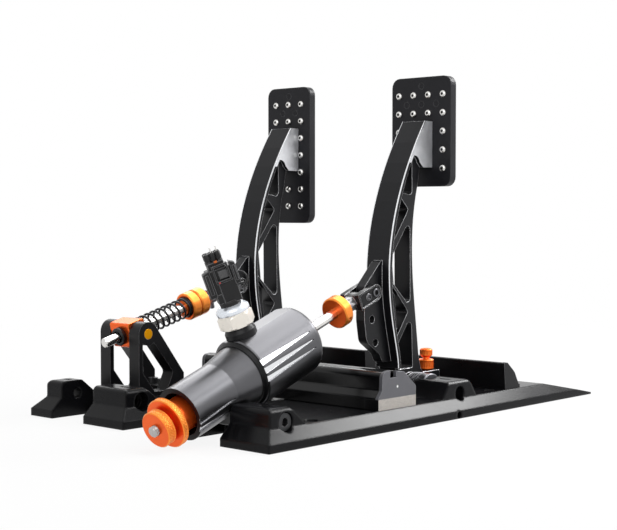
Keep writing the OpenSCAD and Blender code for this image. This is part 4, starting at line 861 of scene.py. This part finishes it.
def add_plug_ear(bm):
    x, y, z = EAR_CENTRE
    points = []
    for i in range(EAR_STEPS + 1):
        angle = math.pi * i / EAR_STEPS
        points.append(Vector((x, y - EAR_R * math.sin(angle), z + EAR_R * math.cos(angle))) * MM)
    add_tube(bm, points, EAR_WIRE_R * MM, 10)


def add_plug_pipes(bm):
    for y in PIPE_Y:
        for x in PIPE_X:
            spot = Matrix.Translation(Vector((x, y, 0)) * MM)
            add_turned(bm, in_metres(PIPE_PROFILE), 28, place=spot)
    for y in PIPE_Y[:2]:
        add_block(bm, CONTACT_X, (y - CONTACT_HALF, y + CONTACT_HALF), CONTACT_Z, CONTACT_ROUNDING,
                  index=PLUG_MATERIALS.index(MATERIALS["steel"]))


def sensor_plug():
    """The moulded connector: skirt, body, latch with tongue and mark, wings, ear and a neck of pipes."""
    sensor = sensor_frame()
    top = extent("pressure_sensor", sensor)[1]
    place = sensor @ Matrix.Translation((0, 0, top)) @ Matrix.Rotation(PLUG_TURN, 4, "Z")
    # The blocks' rounded edges get the lighter grey: painted highlight.
    edge_highlight_index = PLUG_MATERIALS.index(PLUG_EDGE_HIGHLIGHT)
    bm = bmesh.new()
    add_turned(bm, in_metres(PLUG_SKIRT), 48)
    for block in PLUG_BLOCKS.values():
        add_block(bm, *block, edge_highlight_index=edge_highlight_index)
    add_block(bm, *LATCH_TONGUE, index=PLUG_MATERIALS.index(TONGUE), edge_highlight_index=edge_highlight_index)
    add_block(bm, *LATCH_MARK, index=PLUG_MATERIALS.index(MARK))
    add_block(bm, *NECK_SEAL, index=PLUG_MATERIALS.index(SEAL))
    add_plug_ear(bm)
    add_plug_pipes(bm)
    piece("moulded_plug", bm, place, "plug_plastic", "brake_cylinder", ["sensor_plug", "plug_latch"],
          materials=PLUG_MATERIALS)


# Faces of CAD nodes that have another finish, or painted shade or highlight

BARREL_R = {"rear_barrel": 27.5 * MM, "front_barrel": 20.5 * MM}
FLUTE_DEPTH = 1.0 * MM
MOUTH_R = 16.6 * MM
# Depths below the cylinder's axis from which the lug's sides and all of it get painted shade
LUG_FROM, LUG_BELOW = 12 * MM, 24 * MM
# Depth of the rim that is painted with the highlight
RIM_DEPTH = 1.0 * MM
TOLERANCE = 0.1 * MM


def recolour_faces(node, chosen, material):
    """Gives another finish, or painted shade or highlight, to the faces that chosen() picks."""
    mesh = NODES[node].data
    mesh.materials.append(material)
    for face in mesh.polygons:
        if chosen(face):
            face.material_index = len(mesh.materials) - 1


def polish_flutes(node):
    """Bright floors in the flutes along a barrel."""
    inverse = BRAKE.inverted()
    turn = inverse.to_3x3()
    floor_r = BARREL_R[node] - FLUTE_DEPTH

    def chosen(face):
        centre, normal = inverse @ face.center, turn @ face.normal
        out = normal.x * centre.x + normal.y * centre.y
        return abs(normal.z) < 0.02 and abs(out - floor_r) < TOLERANCE / 2
    recolour_faces(node, chosen, POLISHED)


def paint_mouth_shade():
    """Painted shade: near-black on the front barrel's rim, in its mouth and on the lug below it."""
    inverse = BRAKE.inverted()
    turn = inverse.to_3x3()

    def chosen(face):
        centre, normal = inverse @ face.center, turn @ face.normal
        on_lug = centre.y > LUG_FROM and (abs(normal.x) > 0.95 or centre.y > LUG_BELOW)
        return normal.z > 0.95 or math.hypot(centre.x, centre.y) < MOUTH_R + TOLERANCE or on_lug
    recolour_faces("front_barrel", chosen, PAINTED_SHADE)


def paint_rim_highlight(node, place):
    """Painted highlight: a lighter orange round the rim of an orange ring."""
    radius = extent(node, place)[3]
    inverse = place.inverted()
    turn = inverse.to_3x3()

    def chosen(face):
        centre = inverse @ face.center
        return abs((turn @ face.normal).z) < 0.9 and math.hypot(centre.x, centre.y) > radius - RIM_DEPTH
    recolour_faces(node, chosen, RIM_HIGHLIGHT)


def blacken_feet():
    """The crossbar's feet keep their own finish on their x-facing ends and take the bar's black elsewhere."""
    recolour_faces("crossbar_feet", lambda face: abs(face.normal.x) < 0.5, MATERIALS["bar_plastic"])


# Arms

# Front edge of an arm from its pivot, as the (y, z) points of a cubic curve
ARM_CURVE = [Vector(p) * MM for p in ((20.3, 18.4), (20.6, 47.8), (64.4, 112.7), (-14.7, 224.5))]
ARM_STEPS = 60
# Share of the curve on each side of a point that its direction is taken from
ARM_STEP = 0.01
# Section of an edge line as (beyond the side, beyond the front) in mm
EDGE_SECTION = (
    (0.12, -1.0), (0.12, -0.15), (0.0, 0.12), (-0.5, 0.12), (-0.5, -0.2), (-0.1, -0.3), (-0.1, -1.0),
)
# Height of the head's lower end above the pivot
HEAD_BOTTOM = 185.0 * MM


def arm_point(t):
    """Point of the arm's front edge, for t from 0 at the pivot to 1 at the head."""
    s = 1 - t
    weights = (s ** 3, 3 * s * s * t, 3 * s * t * t, t ** 3)
    return sum((w * p for w, p in zip(weights, ARM_CURVE)), Vector((0, 0)))


def brush_head(pedal):
    """Brushed sides on the head of an arm."""
    node = pedal + "_arm"
    low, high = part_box(node)
    half, centre = (high.x - low.x) / 2, (high.x + low.x) / 2
    bottom = JOINTS[pedal + "_press"]["pos_m"][2] + HEAD_BOTTOM

    def chosen(face):
        on_side = abs(face.normal.x) > 0.99 and abs(face.center.x - centre) > half - TOLERANCE
        return on_side and face.center.z > bottom
    recolour_faces(node, chosen, BRUSHED)


def arm_edges(pedal):
    """Bright machined lines along both front edges of an arm."""
    low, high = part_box(pedal + "_arm")
    half = (high.x - low.x) / 2
    bm = bmesh.new()
    for side in (-1, 1):
        rings = []
        for i in range(ARM_STEPS + 1):
            t = i / ARM_STEPS
            ahead = (arm_point(min(1, t + ARM_STEP)) - arm_point(max(0, t - ARM_STEP))).normalized()
            out = Vector((ahead.y, -ahead.x))
            spots = [(u, arm_point(t) + out * v * MM) for u, v in EDGE_SECTION]
            rings.append([Vector((side * (half + u * MM), p.x, p.y)) for u, p in spots])
        add_loft(bm, rings)
    pivot = Matrix.Translation(JOINTS[pedal + "_press"]["pos_m"])
    piece(pedal + "_arm_edges", bm, pivot, "steel", pedal + "_pedal", materials=[POLISHED])


# Studio

def seen(tree):
    """1 for rays from the camera and for mirrored and refracted ones, which see the white surround."""
    path = add(tree, "LightPath").outputs
    first = combine(tree, "MAXIMUM", path["Is Camera Ray"], path["Is Glossy Ray"])
    return combine(tree, "MAXIMUM", first, path["Is Transmission Ray"])


def surround():
    """A world that is seen white and lights the part weakly."""
    world = bpy.data.worlds.new("white_surround")
    bpy.context.scene.world = world
    world.use_nodes = True
    tree = world.node_tree
    background = tree.nodes["Background"]
    background.inputs["Color"].default_value = (1, 1, 1, 1)
    tree.links.new(remap(tree, seen(tree), 0, 1, AMBIENT, 1.0), background.inputs["Strength"])


def floor_material():
    """Pale, and glowing nearly white where it is seen, so that a faint shadow is left."""
    material = bpy.data.materials.new("pale_floor")
    material.use_nodes = True
    tree = material.node_tree
    tree.nodes.clear()
    diffuse = add(tree, "BsdfDiffuse", {"Color": (0.86, 0.86, 0.86, 1)})
    glow = add(tree, "Emission", {"Color": (1, 1, 1, 1), "Strength": 1.0})
    place = add(tree, "TexCoord").outputs["Object"]
    away = add(tree, "VectorMath", {0: place}, operation="LENGTH").outputs["Value"]
    share = combine(tree, "MULTIPLY", seen(tree), remap(tree, away, *FLOOR_FADE, FLOOR_GLOW, 1.0))
    both = add(tree, "MixShader", {0: share, 1: diffuse.outputs[0], 2: glow.outputs[0]})
    output = add(tree, "OutputMaterial")
    tree.links.new(both.outputs[0], output.inputs["Surface"])
    return material


def floor():
    bm = bmesh.new()
    bmesh.ops.create_grid(bm, x_segments=1, y_segments=1, size=FLOOR_REACH)
    mesh = bpy.data.meshes.new("floor")
    bm.to_mesh(mesh)
    bm.free()
    mesh.materials.append(floor_material())
    plane = bpy.data.objects.new("floor", mesh)
    bpy.context.scene.collection.objects.link(plane)
    plane.location.z = -FLOOR_DROP


def aim(name, data, place, way):
    """Stands a light or the camera at a place, looking along way."""
    made = bpy.data.objects.new(name, data)
    bpy.context.scene.collection.objects.link(made)
    made.location = place
    made.rotation_mode = "QUATERNION"
    made.rotation_quaternion = way.to_track_quat("-Z", "Y")
    return made


def softboxes():
    for name, (place, target, width, height, radiance) in SOFTBOXES.items():
        light = bpy.data.lights.new(name, "AREA")
        light.shape = "RECTANGLE"
        light.size, light.size_y = width, height
        light.energy = radiance * math.pi * width * height
        aim(name, light, place, Vector(target) - Vector(place))


def camera():
    data = bpy.data.cameras.new("camera")
    data.sensor_width = CAMERA_SENSOR
    data.lens = CAMERA_LENS
    bpy.context.scene.camera = aim("camera", data, CAMERA_AT, CAMERA_LOOK)


dress_nodes()
knurled_ring("preload_ring", "preload_adjuster")
knurled_ring("lock_knob", "preload_lock", KNOB_NECK)
preload_stud()
for pedal in ("brake", "throttle"):
    screw_place = joint_frame(pedal + "_stop_turn")
    stop_screw(pedal, screw_place)
    lock_wheel(pedal, screw_place)
    brush_head(pedal)
    arm_edges(pedal)
    grip_studs(pedal)
for pedal, strut in (("brake", BRAKE), ("throttle", THROTTLE)):
    fork_place = strut_frame(pedal, strut)
    fork(pedal, fork_place)
    fork_pin(pedal, fork_place)
return_spring()
hex_sensor()
sensor_plug()
for barrel in BARREL_R:
    polish_flutes(barrel)
paint_mouth_shade()
paint_rim_highlight("brake_collar", BRAKE)
for ring in ("throttle_preload_ring", "throttle_lock_ring"):
    paint_rim_highlight(ring, THROTTLE)
blacken_feet()
surround()
floor()
softboxes()
camera()
bpy.context.scene.view_settings.view_transform = "Standard"

bpy.context.view_layer.update()
